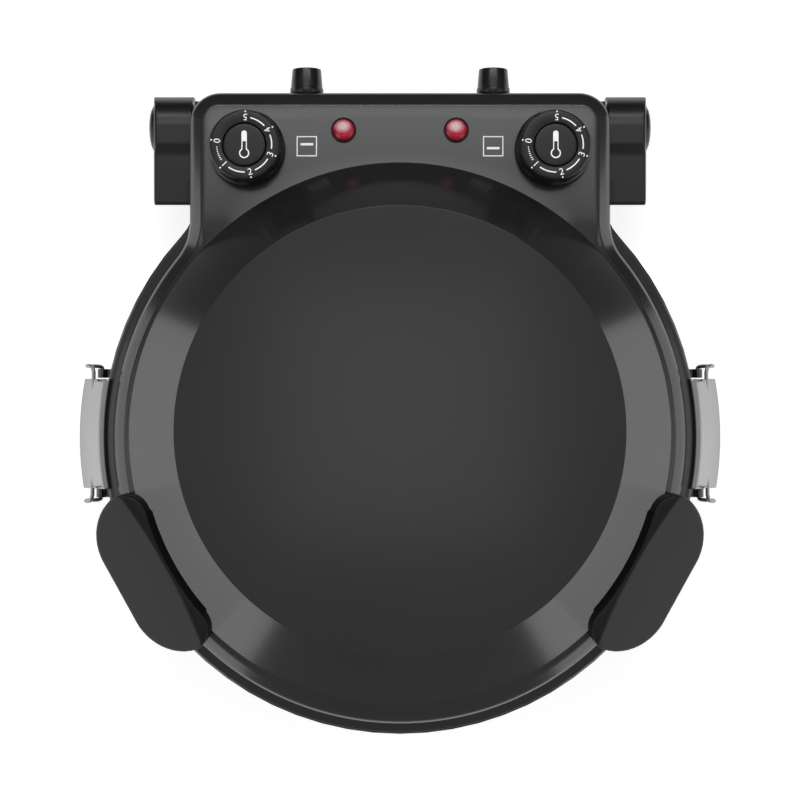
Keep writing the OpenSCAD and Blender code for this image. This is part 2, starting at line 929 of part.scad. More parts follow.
housing_half = console_half - 0.8;
housing_back = console_back - 0.6;
housing_front = neck_back + 1.5;
housing_low = pivot_z + 14;
housing_t = 2.5;
housing_corner = console_corner - 0.8;
cheek_r = barrel_r - 5;
tray_top = cover_low - seat;

module tray_outline(inset) {
    half = housing_half - inset;
    back = housing_back - inset;
    front = housing_front + inset;
    corner = housing_corner - inset;
    intersection() {
        union() {
            for (s = [-1, 1]) {
                translate([s * (half - corner), back - corner])
                    circle(r = corner);
            }
            translate([-half, front])
                square([2 * half, back - corner - front]);
            translate([corner - half, front])
                square([2 * (half - corner), back - front]);
        }
        translate([-half, front])
            square([2 * half, back - front]);
    }
}

module console_housing() {
    piece(plastic)
        difference() {
            union() {
                difference() {
                    translate([0, 0, housing_low])
                        linear_extrude(tray_top - housing_low)
                            tray_outline(0);
                    translate([0, 0, housing_low + housing_t])
                        linear_extrude(tray_top - housing_low)
                            tray_outline(housing_t);
                }
                // The cheeks that hang on the hinge pins.
                on_both_sides() {
                    translate([cheek_in, pivot_y, pivot_z])
                        rotate([0, 90, 0])
                            cylinder(r = cheek_r, h = housing_half - cheek_in);
                    translate([cheek_in, pivot_y - cheek_r, pivot_z])
                        cube([housing_half - cheek_in, 2 * cheek_r, housing_low - pivot_z + housing_t]);
                }
            }
            on_both_sides() {
                translate([cheek_in - cut, pivot_y, pivot_z])
                    rotate([0, 90, 0])
                        cylinder(r = pin_r + pin_gap, h = housing_half - cheek_in + 2 * cut);
                translate([housing_screw_x, housing_screw_y, housing_low - cut])
                    cylinder(r = 2.1, h = housing_t + 2 * cut);
            }
        }
}

housing_screw_x = 40;
housing_screw_y = housing_front + 16;

module housing_screws() {
    piece(steel)
        on_both_sides()
            translate([housing_screw_x, housing_screw_y, housing_low])
                screw(1.9, tray_top - housing_low + 4, 3.6, 2);
}

post_z = (housing_low + tray_top) / 2 + 0.2;

module rear_posts() {
    piece([0.1, 0.1, 0.1])
        on_both_sides()
            translate([post_x, housing_back, post_z])
                rotate([-90, 0, 0])
                    rotate_extrude()
                        polygon([
                            [0, 0], [post_r - 1, 0], [post_r - 1, 1.4], [post_r, 1.4],
                            [post_tip_r, post_tip_y - housing_back - 0.8],
                            [post_tip_r - 0.8, post_tip_y - housing_back],
                            [post_tip_r - 3, post_tip_y - housing_back],
                            [post_tip_r - 3.6, post_tip_y - housing_back - 1], [0, post_tip_y - housing_back - 1]
                        ]);
}

// ---- Handles ----

end_r = 32;                  // radius of the handle's two outer corners
nose_r = 14;                 // radius of its two inner corners
end_u = handle_out - end_r;
end_v = handle_half - end_r;
handle_low = rim_z + 6;
scoop_r = 530;               // the hollow that the palm lies in
scoop_u = 158.5;
scoop_tilt = 41;
wall_lean = 2.5;             // how far the inner wall leans out on its way up

// Where two circles meet, on the side of growing y.
function circles_meet(c0, r0, c1, r1) =
    let (
        d = c1 - c0,
        gap_d = norm(d),
        a = (gap_d * gap_d + r0 * r0 - r1 * r1) / (2 * gap_d),
        h = sqrt(max(0, r0 * r0 - a * a))
    )
    c0 + a * d / gap_d + h * [-d.y, d.x] / gap_d;

nose = circles_meet([0, 0], handle_wall_r + nose_r, [end_u, end_v], end_r - nose_r);
nose_foot = nose * handle_wall_r / norm(nose);
nose_end = [end_u, end_v] + (nose - [end_u, end_v]) * end_r / (end_r - nose_r);

module handle_outline() {
    difference() {
        union() {
            for (s = [-1, 1]) {
                translate([end_u, s * end_v])
                    circle(r = end_r);
            }
            translate([end_u - end_r, -end_v])
                square([2 * end_r, 2 * end_v]);
        }
        circle(r = handle_wall_r - wall_lean);
        for (s = [0, 1]) {
            mirror([0, s])
                difference() {
                    polygon([nose_foot, nose, nose_end, [nose_end.x - 4, handle_half + 8],
                             [nose_foot.x - 14, handle_half + 8], [nose_foot.x - 14, nose_foot.y - 3]]);
                    translate(nose)
                        circle(r = nose_r);
                    polygon([nose_foot, nose, nose_end, nose_end - [0, 20], nose_foot + [10, -20]]);
                }
        }
    }
}

handle_screw_spots = [[dome_foot_r - 1.5, -24], [dome_foot_r - 1.5, 24]];
handle_screw_z = shoulder_z - 3.8;

module handle(side) {
    piece(plastic)
        on_side(side)
            rotate([0, 0, -handle_angle])
                difference() {
                    translate([0, 0, handle_low])
                        linear_extrude(handle_z - handle_low)
                            handle_outline();
                    // The inner wall leans out on its way up.
                    translate([0, 0, shoulder_z])
                        cylinder(r1 = handle_wall_r - wall_lean, r2 = handle_wall_r + 0.3,
                                 h = handle_z - shoulder_z + 0.1);
                    // The palm's hollow.
                    translate([scoop_u, 0, handle_z])
                        rotate([0, 90 + scoop_tilt, 0])
                            translate([-scoop_r, 0, -60])
                                cylinder(r = scoop_r, h = 160, $fn = 360);
                    // The lid under the handle.
                    rotate_extrude()
                        polygon([
                            [0, 60], [cover_r + 0.4, 60], [cover_r + 0.4, cover_low + 3.8],
                            [cover_r - 0.2, cover_low + 6.6], [cover_r - 1.7, cover_low + 9.2],
                            [cover_r - 7.3, cover_low + 14], [dome_foot_r + 1.4, shoulder_z + 0.1],
                            [dome_foot_r + 0.5, shoulder_z + 0.1], [dome_top_r + 0.5, dome_z], [0, dome_z]
                        ]);
                    // Room for the fingers under the outer edge.
                    translate([0, 0, handle_low - cut])
                        difference() {
                            intersection() {
                                cylinder(r = handle_out - 3.5, h = 7 + cut);
                                translate([150, -34, 0])
                                    cube([60, 68, 20]);
                            }
                            translate([0, 0, -cut])
                                cylinder(r = rim_r + 1, h = 20);
                        }
                    for (p = handle_screw_spots) {
                        translate([p.x, p.y, handle_low])
                            cylinder(r = 1.9, h = 26);
                    }
                }
}

module left_handle() {
    handle(-1);
}

module right_handle() {
    handle(1);
}

module handle_screws() {
    piece(steel)
        on_both_sides()
            rotate([0, 0, -handle_angle])
                for (p = handle_screw_spots) {
                    translate([p.x, p.y, handle_screw_z])
                        screw(1.8, 14, 2.8, 2);
                }
}

// ---- Console: thermostats, knobs and lamps ----

panel_z = crease_z(knob_y) + panel_rise * 0.6;
thermostat_r = 15;
thermostat_top = panel_z - sheet - 2;
thermostat_low = tray_top + 0.6;
thermostat_h = thermostat_top - thermostat_low;

module thermostat(side) {
    piece([0.85, 0.83, 0.78])
        on_side(side)
            translate([knob_x, knob_y + 6, 0])
                difference() {
                    union() {
                        translate([-thermostat_r, -thermostat_r * 0.7, thermostat_low])
                            cube([2 * thermostat_r, thermostat_r * 1.4, thermostat_h - 2]);
                        translate([0, -6, thermostat_top - 2.5])
                            cylinder(r = 9, h = 2.5);
                        translate([-13, 6, thermostat_low - 6])
                            cube([6, 0.8, 7]);
                        translate([7, 6, thermostat_low - 6])
                            cube([6, 0.8, 7]);
                    }
                    translate([0, -6, thermostat_top - spindle_in - 0.5])
                        cylinder(r = spindle_r + 0.05, h = 12);
                }
}

module left_thermostat() {
    thermostat(-1);
}

module right_thermostat() {
    thermostat(1);
}

knob_low = panel_z + 1.9;
spindle_top = knob_low + knob_h - 5;
spindle_in = 7;              // how far the spindle reaches into the thermostat

module spindle(side) {
    piece(steel)
        on_side(side)
            translate([knob_x, knob_y, thermostat_top - spindle_in])
                difference() {
                    cylinder(r = spindle_r, h = spindle_top - thermostat_top + spindle_in);
                    translate([spindle_r * 0.55, -spindle_r, spindle_top - thermostat_top + spindle_in - 10])
                        cube([spindle_r, 2 * spindle_r, 12]);
                }
}

module left_spindle() {
    spindle(-1);
}

module right_spindle() {
    spindle(1);
}

cap_r = 12.7;
cap_groove = 0.5;
skirt_h = 5;
flats = 7;
flat_depth = 1.1;

// A knob: a round skirt, a dial face that stands on it with shallow flats, and a recess for the cap.
module knob(side) {
    top = knob_low + knob_h;
    dial_r = knob_r - 1.6;
    piece(plastic)
        on_side(side)
            translate([knob_x, knob_y, 0])
                difference() {
                    rotate_extrude()
                        polygon([
                            [0, knob_low], [knob_r, knob_low], [knob_r, knob_low + skirt_h - 1],
                            [knob_r - 0.8, knob_low + skirt_h], [dial_r, knob_low + skirt_h + 0.6],
                            [dial_r - 0.6, top - 1.2], [dial_r - 1.8, top], [0, top]
                        ]);
                    for (i = [0:flats - 1]) {
                        rotate([0, 0, i * 360 / flats + 20])
                            translate([dial_r - flat_depth + 14, 0, knob_low + skirt_h + 0.6])
                                cylinder(r = 14, h = knob_h);
                    }
                    translate([0, 0, top - 1.6])
                        cylinder(r = cap_r + cap_groove, h = 4);
                    translate([0, 0, knob_low - cut])
                        difference() {
                            cylinder(r = dial_r - 3.4, h = knob_h - 6);
                            cylinder(r = spindle_r + 3.4, h = knob_h);
                        }
                    translate([0, 0, knob_low - cut])
                        cylinder(r = spindle_r, h = spindle_top - knob_low + cut);
                }
}

module left_knob() {
    knob(-1);
}

module right_knob() {
    knob(1);
}

module knob_cap(side) {
    top = knob_low + knob_h;
    piece(plastic)
        on_side(side)
            translate([knob_x, knob_y, 0])
                rotate_extrude()
                    polygon([[0, top - 1.6], [cap_r, top - 1.6], [cap_r, top - 0.4], [cap_r - 0.5, top], [0, top + 0.2]]);
}

module left_knob_cap() {
    knob_cap(-1);
}

module right_knob_cap() {
    knob_cap(1);
}

lamp_z = crease_z(lamp_y) + panel_rise * 0.6;
bezel_h = 1.4;

// Stands a lamp's piece on the sloping panel.
module on_panel(side) {
    on_side(side)
        translate([lamp_x, lamp_y, lamp_z])
            rotate([-panel_slope, 0, 0])
                children();
}

module lens(side) {
    piece([0.75, 0.05, 0.08])
        on_panel(side)
            rotate_extrude()
                polygon([
                    [0, bezel_h * 0.4], [lamp_r, bezel_h * 0.4], [lamp_r, bezel_h], [lamp_r * 0.92, bezel_h + 1.5],
                    [lamp_r * 0.7, bezel_h + 2.8], [lamp_r * 0.38, bezel_h + 3.5], [0, bezel_h + 3.7]
                ]);
}

module left_lamp() {
    lens(-1);
}

module right_lamp() {
    lens(1);
}

module lamp_bezels() {
    piece([0.12, 0.12, 0.12])
        for (side = [-1, 1]) {
            on_panel(side)
                rotate_extrude()
                    polygon([[holder_r + 0.1, seat], [bezel_r, seat], [bezel_r, bezel_h * 0.7],
                             [bezel_r - 0.5, bezel_h], [lamp_r + 0.15, bezel_h], [lamp_r + 0.15, bezel_h * 0.4 - 0.02],
                             [holder_r + 0.1, bezel_h * 0.4 - 0.02]]);
        }
}

module lamp_holders() {
    piece([0.8, 0.8, 0.76])
        for (side = [-1, 1]) {
            on_panel(side)
                translate([0, 0, -14])
                    cylinder(r = holder_r, h = 14 + bezel_h * 0.4 - 0.02);
        }
}

base_bowl();
bottom_cover();
bottom_screws();
feet();
foot_screws();
heat_pan();
lower_element();
lower_element_clips();
baking_stone();
stone_clips();
cord_bush();
left_bracket();
right_bracket();
bracket_screws();
hinge_pins();
left_clip_base();
right_clip_base();
clip_rivets();
left_clip_wire();
right_clip_wire();
left_clip_lever();
right_clip_lever();
lid_cover();
lid_frame();
lid_dish();
upper_element();
upper_element_clips();
console_housing();
housing_screws();
rear_posts();
left_handle();
right_handle();
handle_screws();
left_thermostat();
right_thermostat();
left_spindle();
right_spindle();
left_knob();
right_knob();
left_knob_cap();
right_knob_cap();
left_lamp();
right_lamp();
lamp_bezels();
lamp_holders();
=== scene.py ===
# %% [markdown]
# # An electric pizza maker, piece by piece
# The machine is a round steel base with a hinged lid, two dials, two lamps and two clips.
# The CAD solids come in as a fixed frame. This notebook gives each one its finish, and puts
# smoother pieces in the place of those whose shading matters most: the shells, the grips,
# the dials and the clips. Sizes are written in millimetres, and `MM` turns them to metres.

# %% Load the frame
import math
import bpy
import bmesh
from mathutils import Matrix, Vector


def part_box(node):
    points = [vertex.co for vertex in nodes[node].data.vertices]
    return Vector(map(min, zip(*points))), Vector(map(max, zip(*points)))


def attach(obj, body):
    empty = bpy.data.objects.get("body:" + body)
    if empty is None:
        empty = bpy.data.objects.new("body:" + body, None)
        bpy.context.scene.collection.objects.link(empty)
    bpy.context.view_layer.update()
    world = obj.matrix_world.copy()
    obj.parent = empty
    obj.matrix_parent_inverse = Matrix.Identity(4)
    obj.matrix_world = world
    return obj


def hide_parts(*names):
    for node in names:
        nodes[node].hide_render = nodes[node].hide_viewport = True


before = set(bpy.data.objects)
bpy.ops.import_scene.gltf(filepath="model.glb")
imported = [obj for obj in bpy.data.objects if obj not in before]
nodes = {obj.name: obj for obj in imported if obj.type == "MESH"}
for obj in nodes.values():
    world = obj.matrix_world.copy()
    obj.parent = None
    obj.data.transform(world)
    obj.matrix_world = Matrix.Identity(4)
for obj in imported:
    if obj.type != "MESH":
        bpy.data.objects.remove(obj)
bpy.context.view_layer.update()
MM = 0.001
SIDES = ((-1, "left"), (1, "right"))

# %% [markdown]
# The round part's centre isn't the frame's origin, because the console reaches out at the
# back. Its place can be read off a node that is round: the baking stone.

# %% Where the round part is
low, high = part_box("baking_stone")
CENTRE_Y = (low.y + high.y) / 2 / MM
print("centre of the round part, mm:", round(CENTRE_Y, 2))

# %% [markdown]
# ## Small tools for materials
# Every finish is a small recipe of nodes. Colours are given as hex values, but the
# renderer counts light, so one helper turns them into linear numbers. Another adds a node of
# any kind with its settings, values and links, so that a material reads from top to bottom.


# %% Colour and node helpers
def hex_rgb(code):
    """The linear colour of an sRGB hex value."""
    channels = [int(code[i:i + 2], 16) / 255 for i in (0, 2, 4)]
    linear = [c / 12.92 if c <= 0.04045 else ((c + 0.055) / 1.055) ** 2.4 for c in channels]
    return (*linear, 1.0)


def add(tree, kind, inputs=None, stops=(), **settings):
    """A new node. Inputs take values or sockets to link; stops are for a colour ramp."""
    node = tree.nodes.new(kind)
    for key, value in settings.items():
        setattr(node, key, value)
    for key, value in (inputs or {}).items():
        if isinstance(value, bpy.types.NodeSocket):
            tree.links.new(value, node.inputs[key])
        else:
            node.inputs[key].default_value = value
    for i, (position, colour) in enumerate(stops):
        marks = node.color_ramp.elements
        mark = marks[i] if i < 2 else marks.new(position)
        mark.position = position
        mark.color = colour
    return node


def new_material(name):
    """An empty material, its tree, and the Object coordinates that its patterns read."""
    material = bpy.data.materials.new(name)
    material.use_nodes = True
    tree = material.node_tree
    tree.nodes.clear()
    return material, tree, add(tree, "ShaderNodeTexCoord").outputs["Object"]


print("half grey in hex is linear", round(hex_rgb("808080")[0], 3))

# %% [markdown]
# ## Stoved enamel on steel
# The lid and the base are deep-drawn steel, sprayed charcoal and baked. A thin clear skin
# lies on top, so the eye sees two things at once: a dark body colour, and a soft image of
# the lamps. Spray paint is never optically flat, so a swell of a few millimetres (orange
# peel) bends the reflections. A bump is enough for that, because it never shows in outline.


# %% Enamel
def enamel(name, dark, light, peel_mm=3.0, rough=0.2):
    """Sprayed and baked paint, whose tone and gloss drift a little from place to place."""
    material, tree, place = new_material(name)
    cloud = add(tree, "ShaderNodeTexNoise", {"Vector": place, "Scale": 9.0, "Detail": 3.0})
    colour = add(tree, "ShaderNodeValToRGB", {"Fac": cloud.outputs["Fac"]},
                 stops=[(0.3, hex_rgb(dark)), (0.7, hex_rgb(light))])
    dull = add(tree, "ShaderNodeMapRange", {"Value": cloud.outputs["Fac"],
                                            "To Min": rough - 0.03, "To Max": rough + 0.03})
    peel = add(tree, "ShaderNodeTexNoise",
               {"Vector": place, "Scale": 1 / (peel_mm * MM), "Detail": 2.0})
    bump = add(tree, "ShaderNodeBump",
               {"Height": peel.outputs["Fac"], "Strength": 0.05, "Distance": 0.0002})
    shader = add(tree, "ShaderNodeBsdfPrincipled", {
        "Base Color": colour.outputs["Color"], "Roughness": dull.outputs["Result"],
        "Normal": bump.outputs["Normal"], "Coat Weight": 0.15, "Coat Roughness": 0.12,
        "IOR": 1.5})
    add(tree, "ShaderNodeOutputMaterial", {"Surface": shader.outputs[0]})
    return material


lid_enamel = enamel("stoved_charcoal_enamel", "252526", "282829")
# The floor plate faces the table and has a cheaper, dull coat that hides the lamps' image.
plate_coat = enamel("heatproof_black_coat", "242424", "2c2c2c", rough=0.5)
print("made", lid_enamel.name, plate_coat.name)

# %% [markdown]
# ## Moulded black plastic
# Grips, hinge brackets and the console's tray are glass-filled polyamide, and the dials are
# phenolic resin. The moulds are spark-eroded, which leaves a grain of about 0.4 mm. It
# scatters the light, so the plastic looks black but never mirror-like. The grain is drawn
# twice as coarse as it is, because a finer one would vanish in the render.


# %% Grained plastic
def grained_plastic(name, dark, light, grain_mm=0.8, rough=0.45, depth=0.12, gloss=0.5):
    """Moulded plastic or rubber, whose skin is dented by one small cell for each grain."""
    material, tree, place = new_material(name)
    cloud = add(tree, "ShaderNodeTexNoise", {"Vector": place, "Scale": 30.0, "Detail": 4.0})
    colour = add(tree, "ShaderNodeValToRGB", {"Fac": cloud.outputs["Fac"]},
                 stops=[(0.3, hex_rgb(dark)), (0.75, hex_rgb(light))])
    dull = add(tree, "ShaderNodeMapRange", {"Value": cloud.outputs["Fac"],
                                            "To Min": rough - 0.05, "To Max": rough + 0.06})
    grain = add(tree, "ShaderNodeTexVoronoi", {"Vector": place, "Scale": 1 / (grain_mm * MM)})
    bump = add(tree, "ShaderNodeBump",
               {"Height": grain.outputs["Distance"], "Strength": depth, "Distance": 0.0002})
    shader = add(tree, "ShaderNodeBsdfPrincipled", {
        "Base Color": colour.outputs["Color"], "Roughness": dull.outputs["Result"],
        "Normal": bump.outputs["Normal"], "IOR": 1.5, "Specular IOR Level": gloss})
    add(tree, "ShaderNodeOutputMaterial", {"Surface": shader.outputs[0]})
    return material


# The brackets' fine grain keeps a soft shine along their round barrels.
black_polyamide = grained_plastic("spark_grained_polyamide", "0b0b0b", "0f0f0f",
                                  rough=0.3, depth=0.07)
# The grips are textured for the hand, so they hardly shine at all.
grip_polyamide = grained_plastic("matt_grip_polyamide", "141414", "181818",
                                 rough=0.42, depth=0.1, gloss=0.22)
# Phenolic takes a finer mould finish: the scallops' edges catch thin lights.
dial_phenolic = grained_plastic("moulded_phenolic", "0c0c0c", "101010", rough=0.38, depth=0.06)
# The posts' rubber is smooth and dark, the feet's is dull and open-grained.
post_rubber = grained_plastic("moulded_rubber", "0a0a0a", "0e0e0e",
                              grain_mm=1.2, rough=0.26, depth=0.04)
foot_rubber = grained_plastic("foot_rubber", "101010", "181818", grain_mm=1.5, rough=0.7)
tray_plastic = grained_plastic("tray_polyamide", "0e0e0e", "141414", rough=0.5)
print("made", black_polyamide.name, grip_polyamide.name, dial_phenolic.name, post_rubber.name)

# %% [markdown]
# ## Bare metals
# The clips are nickel-plated spring steel: bright, with the faint drag lines that rolling
# leaves along the strip. Screws and pins are zinc-plated and duller. The pan and the
# reflector are aluminised sheet, and the heaters' sheath is browned by its own heat. A
# stretched noise gives the lines. The metal keeps the default IOR, since its colour alone
# sets how it reflects.


# %% Metals
def rolled_metal(name, tint, along=(1, 1, 1), rough=(0.2, 0.3), lines_mm=0.6):
    """Metal whose noise is stretched along the axis that has the smallest scale."""
    material, tree, place = new_material(name)
    stretch = add(tree, "ShaderNodeMapping", {"Vector": place, "Scale": along})
    lines = add(tree, "ShaderNodeTexNoise", {"Vector": stretch.outputs["Vector"],
                                             "Scale": 1 / (lines_mm * MM), "Detail": 3.0})
    tone = hex_rgb(tint)
    darker = (*[0.93 * channel for channel in tone[:3]], 1.0)
    shade = add(tree, "ShaderNodeValToRGB", {"Fac": lines.outputs["Fac"]},
                stops=[(0.3, darker), (0.7, tone)])
    dull = add(tree, "ShaderNodeMapRange",
               {"Value": lines.outputs["Fac"], "To Min": rough[0], "To Max": rough[1]})
    bump = add(tree, "ShaderNodeBump",
               {"Height": lines.outputs["Fac"], "Strength": 0.08, "Distance": 0.0001})
    shader = add(tree, "ShaderNodeBsdfPrincipled", {
        "Base Color": shade.outputs["Color"], "Metallic": 1.0,
        "Roughness": dull.outputs["Result"], "Normal": bump.outputs["Normal"]})
    add(tree, "ShaderNodeOutputMaterial", {"Surface": shader.outputs[0]})
    return material


clip_nickel = rolled_metal("nickel_plated_spring_steel", "9d9d9d",
                           along=(1, 0.06, 1), rough=(0.3, 0.4))
# The ears' strap steel is tinted darker than the clip's nickel. This is painted shade, standing in
# for the dark surroundings that the shiny ears mirror.
ear_steel_painted_dark = rolled_metal("strap_steel_painted_dark", "5c5b5a")
zinc = rolled_metal("zinc_plated_steel", "b9b9b4", rough=(0.32, 0.42))
aluminised = rolled_metal("aluminised_sheet", "c9c9c9",
                          along=(0.1, 1, 1), rough=(0.28, 0.4), lines_mm=0.9)
sheath = rolled_metal("oxidised_element_sheath", "6c675f", rough=(0.45, 0.6), lines_mm=1.5)
print("made", clip_nickel.name, zinc.name, aluminised.name, sheath.name)

# %% [markdown]
# ## Stone, ceramic and nylon
# The baking stone is pressed cordierite: sandy and porous, with darker grit. The thermostats'
# blocks are steatite, a glazed ceramic, and the lamps' holders are uncoloured nylon. All three
# scatter light from a rough skin, so one noise can give both the tone and the pits.


# %% Stone, ceramic and nylon
def gritty(name, dark, light, grit_mm, rough=0.85):
    """A rough, pale body; grit_mm is the width of its darker grains."""
    material, tree, place = new_material(name)
    grit = add(tree, "ShaderNodeTexNoise",
               {"Vector": place, "Scale": 1 / (grit_mm * MM), "Detail": 6.0})
    colour = add(tree, "ShaderNodeValToRGB", {"Fac": grit.outputs["Fac"]},
                 stops=[(0.35, hex_rgb(dark)), (0.65, hex_rgb(light))])
    bump = add(tree, "ShaderNodeBump",
               {"Height": grit.outputs["Fac"], "Strength": 0.3, "Distance": 0.0004})
    shader = add(tree, "ShaderNodeBsdfPrincipled", {
        "Base Color": colour.outputs["Color"], "Roughness": rough,
        "Normal": bump.outputs["Normal"]})
    add(tree, "ShaderNodeOutputMaterial", {"Surface": shader.outputs[0]})
    return material


cordierite = gritty("pressed_cordierite", "b49a78", "d8c4a2", 2.5)
steatite = gritty("glazed_steatite", "cfc7b4", "e2dccb", 4.0, rough=0.5)
holder_nylon = gritty("natural_nylon", "d9d6c8", "e6e3d6", 5.0, rough=0.45)
print("made", cordierite.name, steatite.name, holder_nylon.name)

# %% [markdown]
# ## Lamp lenses
# The lenses are moulded red polycarbonate with a finely dimpled skin. Their colour is an opaque
# red with a pale spot painted into it, a little off the middle: a painted highlight with a
# ragged edge. Layer Weight deepens the red at the rim, where more plastic lies in the way.

# %% Where the lamps are
low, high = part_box("right_lamp")
LAMP_X = (low.x + high.x) / 2 / MM
LAMP_Y = (low.y + high.y) / 2 / MM - CENTRE_Y
LAMP_Z = high.z / MM
print("right lamp at", round(LAMP_X, 3), round(LAMP_Y, 3), "its top at", round(LAMP_Z, 3))

# %% Lenses
# The painted highlight: where the pale spot in the lens's colour sits, how far it reaches, its
# shape and its ragged edge.
PAINTED_HIGHLIGHT_X, PAINTED_HIGHLIGHT_Y = -0.5, 1.9       # the patch's place, from the lens's middle
PAINTED_HIGHLIGHT_FULL, PAINTED_HIGHLIGHT_END = 2.8, 6.4   # fully pale up to the first distance, gone at the second
PAINTED_HIGHLIGHT_SHAPE = (1.0, 1.35, 0.0)     # narrower in y than in x, and the same at any height
FROST_MM, PAINTED_HIGHLIGHT_RAGGED_MM = 0.9, 1.2


def lens_red(name, lamp_x):
    """Red plastic with a painted highlight round one spot, deepening towards its rim."""
    material, tree, place = new_material(name)
    facing = add(tree, "ShaderNodeLayerWeight", {"Blend": 0.4})
    red = add(tree, "ShaderNodeValToRGB", {"Fac": facing.outputs["Facing"]}, stops=[
        (0.0, hex_rgb("c4223c")), (0.5, hex_rgb("ae1230")), (0.92, hex_rgb("4a060c"))])
    centre = ((lamp_x + PAINTED_HIGHLIGHT_X) * MM, (LAMP_Y + PAINTED_HIGHLIGHT_Y + CENTRE_Y) * MM, LAMP_Z * MM)
    away = add(tree, "ShaderNodeVectorMath", {0: place, 1: centre}, operation="SUBTRACT")
    flat = add(tree, "ShaderNodeVectorMath", {0: away.outputs["Vector"], 1: PAINTED_HIGHLIGHT_SHAPE},
               operation="MULTIPLY")
    reach = add(tree, "ShaderNodeVectorMath", {0: flat.outputs["Vector"]}, operation="LENGTH")
    cells = add(tree, "ShaderNodeTexVoronoi", {"Vector": place, "Scale": 1 / (FROST_MM * MM)})
    edge = add(tree, "ShaderNodeMath", {0: cells.outputs["Distance"], 1: PAINTED_HIGHLIGHT_RAGGED_MM * MM,
                                        2: reach.outputs["Value"]}, operation="MULTIPLY_ADD")
    # Mask of the painted highlight: 0.95 in the middle of the spot, falling to 0 outside it.
    painted_highlight = add(tree, "ShaderNodeMapRange", {
        "Value": edge.outputs[0], "From Min": PAINTED_HIGHLIGHT_FULL * MM, "From Max": PAINTED_HIGHLIGHT_END * MM,
        "To Min": 0.95, "To Max": 0.0})
    # The pale pink mixed into the red is the painted highlight.
    # A colour Mix keeps its factor in input 0, its two colours in 6 and 7, its result in 2.
    colour = add(tree, "ShaderNodeMix",
                 {0: painted_highlight.outputs["Result"], 6: red.outputs["Color"], 7: hex_rgb("f0c4c8")},
                 data_type="RGBA")
    bump = add(tree, "ShaderNodeBump",
               {"Height": cells.outputs["Distance"], "Strength": 0.3, "Distance": 0.0004})
    shader = add(tree, "ShaderNodeBsdfPrincipled", {
        "Base Color": colour.outputs[2], "Roughness": 0.16, "Normal": bump.outputs["Normal"],
        "IOR": 1.58})
    add(tree, "ShaderNodeOutputMaterial", {"Surface": shader.outputs[0]})
    return material


red_lenses = {side: lens_red(word + "_red_lens", side * LAMP_X) for side, word in SIDES}
print("made", red_lenses[-1].name, red_lenses[1].name)

# %% [markdown]
# ## White print
# Numbers and signs are pad-printed: a silicone pad sets down a thin coat of white ink, matt and
# slightly uneven. Thin lines lose brightness when they are drawn small, so the ink gets a
# little glow of its own.

# %% Ink
white_ink, tree, place = new_material("pad_printed_white_ink")
blot = add(tree, "ShaderNodeTexNoise", {"Vector": place, "Scale": 900.0, "Detail": 2.0})
colour = add(tree, "ShaderNodeValToRGB", {"Fac": blot.outputs["Fac"]},
             stops=[(0.3, hex_rgb("f2f2f2")), (0.6, hex_rgb("ffffff"))])
shader = add(tree, "ShaderNodeBsdfPrincipled", {
    "Base Color": colour.outputs["Color"], "Roughness": 0.6,
    "Emission Color": colour.outputs["Color"], "Emission Strength": 0.25})
add(tree, "ShaderNodeOutputMaterial", {"Surface": shader.outputs[0]})
print("made", white_ink.name)

# %% [markdown]
# ## Dress the CAD solids
# Each node keeps its CAD mesh and gets the finish of what it is made of. A table from finish
# to nodes is easier to check than a line for each node, and the count at the end shows
# whether one was forgotten.

# %% Assign finishes
FINISHES = {
    lid_enamel: ["lid_cover", "lid_frame", "base_bowl"],
    plate_coat: ["bottom_cover"],
    grip_polyamide: ["left_handle", "right_handle"],
    black_polyamide: ["left_bracket", "right_bracket"],
    tray_plastic: ["console_housing"],
    dial_phenolic: ["left_knob", "right_knob", "left_knob_cap", "right_knob_cap", "lamp_bezels"],
    post_rubber: ["rear_posts", "cord_bush"],
    foot_rubber: ["feet"],
    ear_steel_painted_dark: ["left_clip_base", "right_clip_base"],
    clip_nickel: ["clip_rivets", "left_clip_wire", "right_clip_wire", "left_clip_lever",
                  "right_clip_lever"],
    zinc: ["bottom_screws", "foot_screws", "bracket_screws", "hinge_pins", "housing_screws",
           "handle_screws", "left_spindle", "right_spindle", "lower_element_clips",
           "upper_element_clips"],
    aluminised: ["heat_pan", "lid_dish", "stone_clips"],
    sheath: ["lower_element", "upper_element"],
    cordierite: ["baking_stone"],
    steatite: ["left_thermostat", "right_thermostat"],
    holder_nylon: ["lamp_holders"],
    red_lenses[-1]: ["left_lamp"],
    red_lenses[1]: ["right_lamp"],
}
dressed = 0
for finish, names in FINISHES.items():
    for name in names:
        nodes[name].data.materials.clear()
        nodes[name].data.materials.append(finish)
        dressed += 1
print("dressed", dressed, "of", len(nodes))
assert dressed == len(nodes)

# %% [markdown]
# ## One outline for three shells
# Lid, lid frame and base share one kind of outline: a circle that runs through two hollows
# into a square-shouldered neck at the back. It could be drawn once and offset, but a function
# of the inset is exact. Any ring of a shell then comes from the same few numbers as the CAD,
# and every ring has the same number of points.


# %% The keyhole outline
def arc(centre, radius, start, end, steps):
    """Points along an arc, its angles in degrees."""
    points = []
    for i in range(steps + 1):
        a = math.radians(start + (end - start) * i / steps)
        points.append((centre[0] + radius * math.cos(a), centre[1] + radius * math.sin(a)))
    return points


def circle(centre, radius, steps):
    return arc(centre, radius, 0, 360, steps)[:-1]


def between(a, b, steps):
    """Points on a straight line, without its two ends."""
    return [(a[0] + (b[0] - a[0]) * i / steps, a[1] + (b[1] - a[1]) * i / steps)
            for i in range(1, steps)]


# The circle's radius, the neck's half width, its rear, its corners and the hollows.
BASE = (184.3, 127.5, 175.0, 10.0, 30.0)
COVER = (176.2, 129.4, 212.0, 19.0, 34.0)
HOLLOW_STEPS, SIDE_STEPS, CORNER_STEPS, BACK_STEPS, ROUND_STEPS = 14, 8, 12, 40, 220


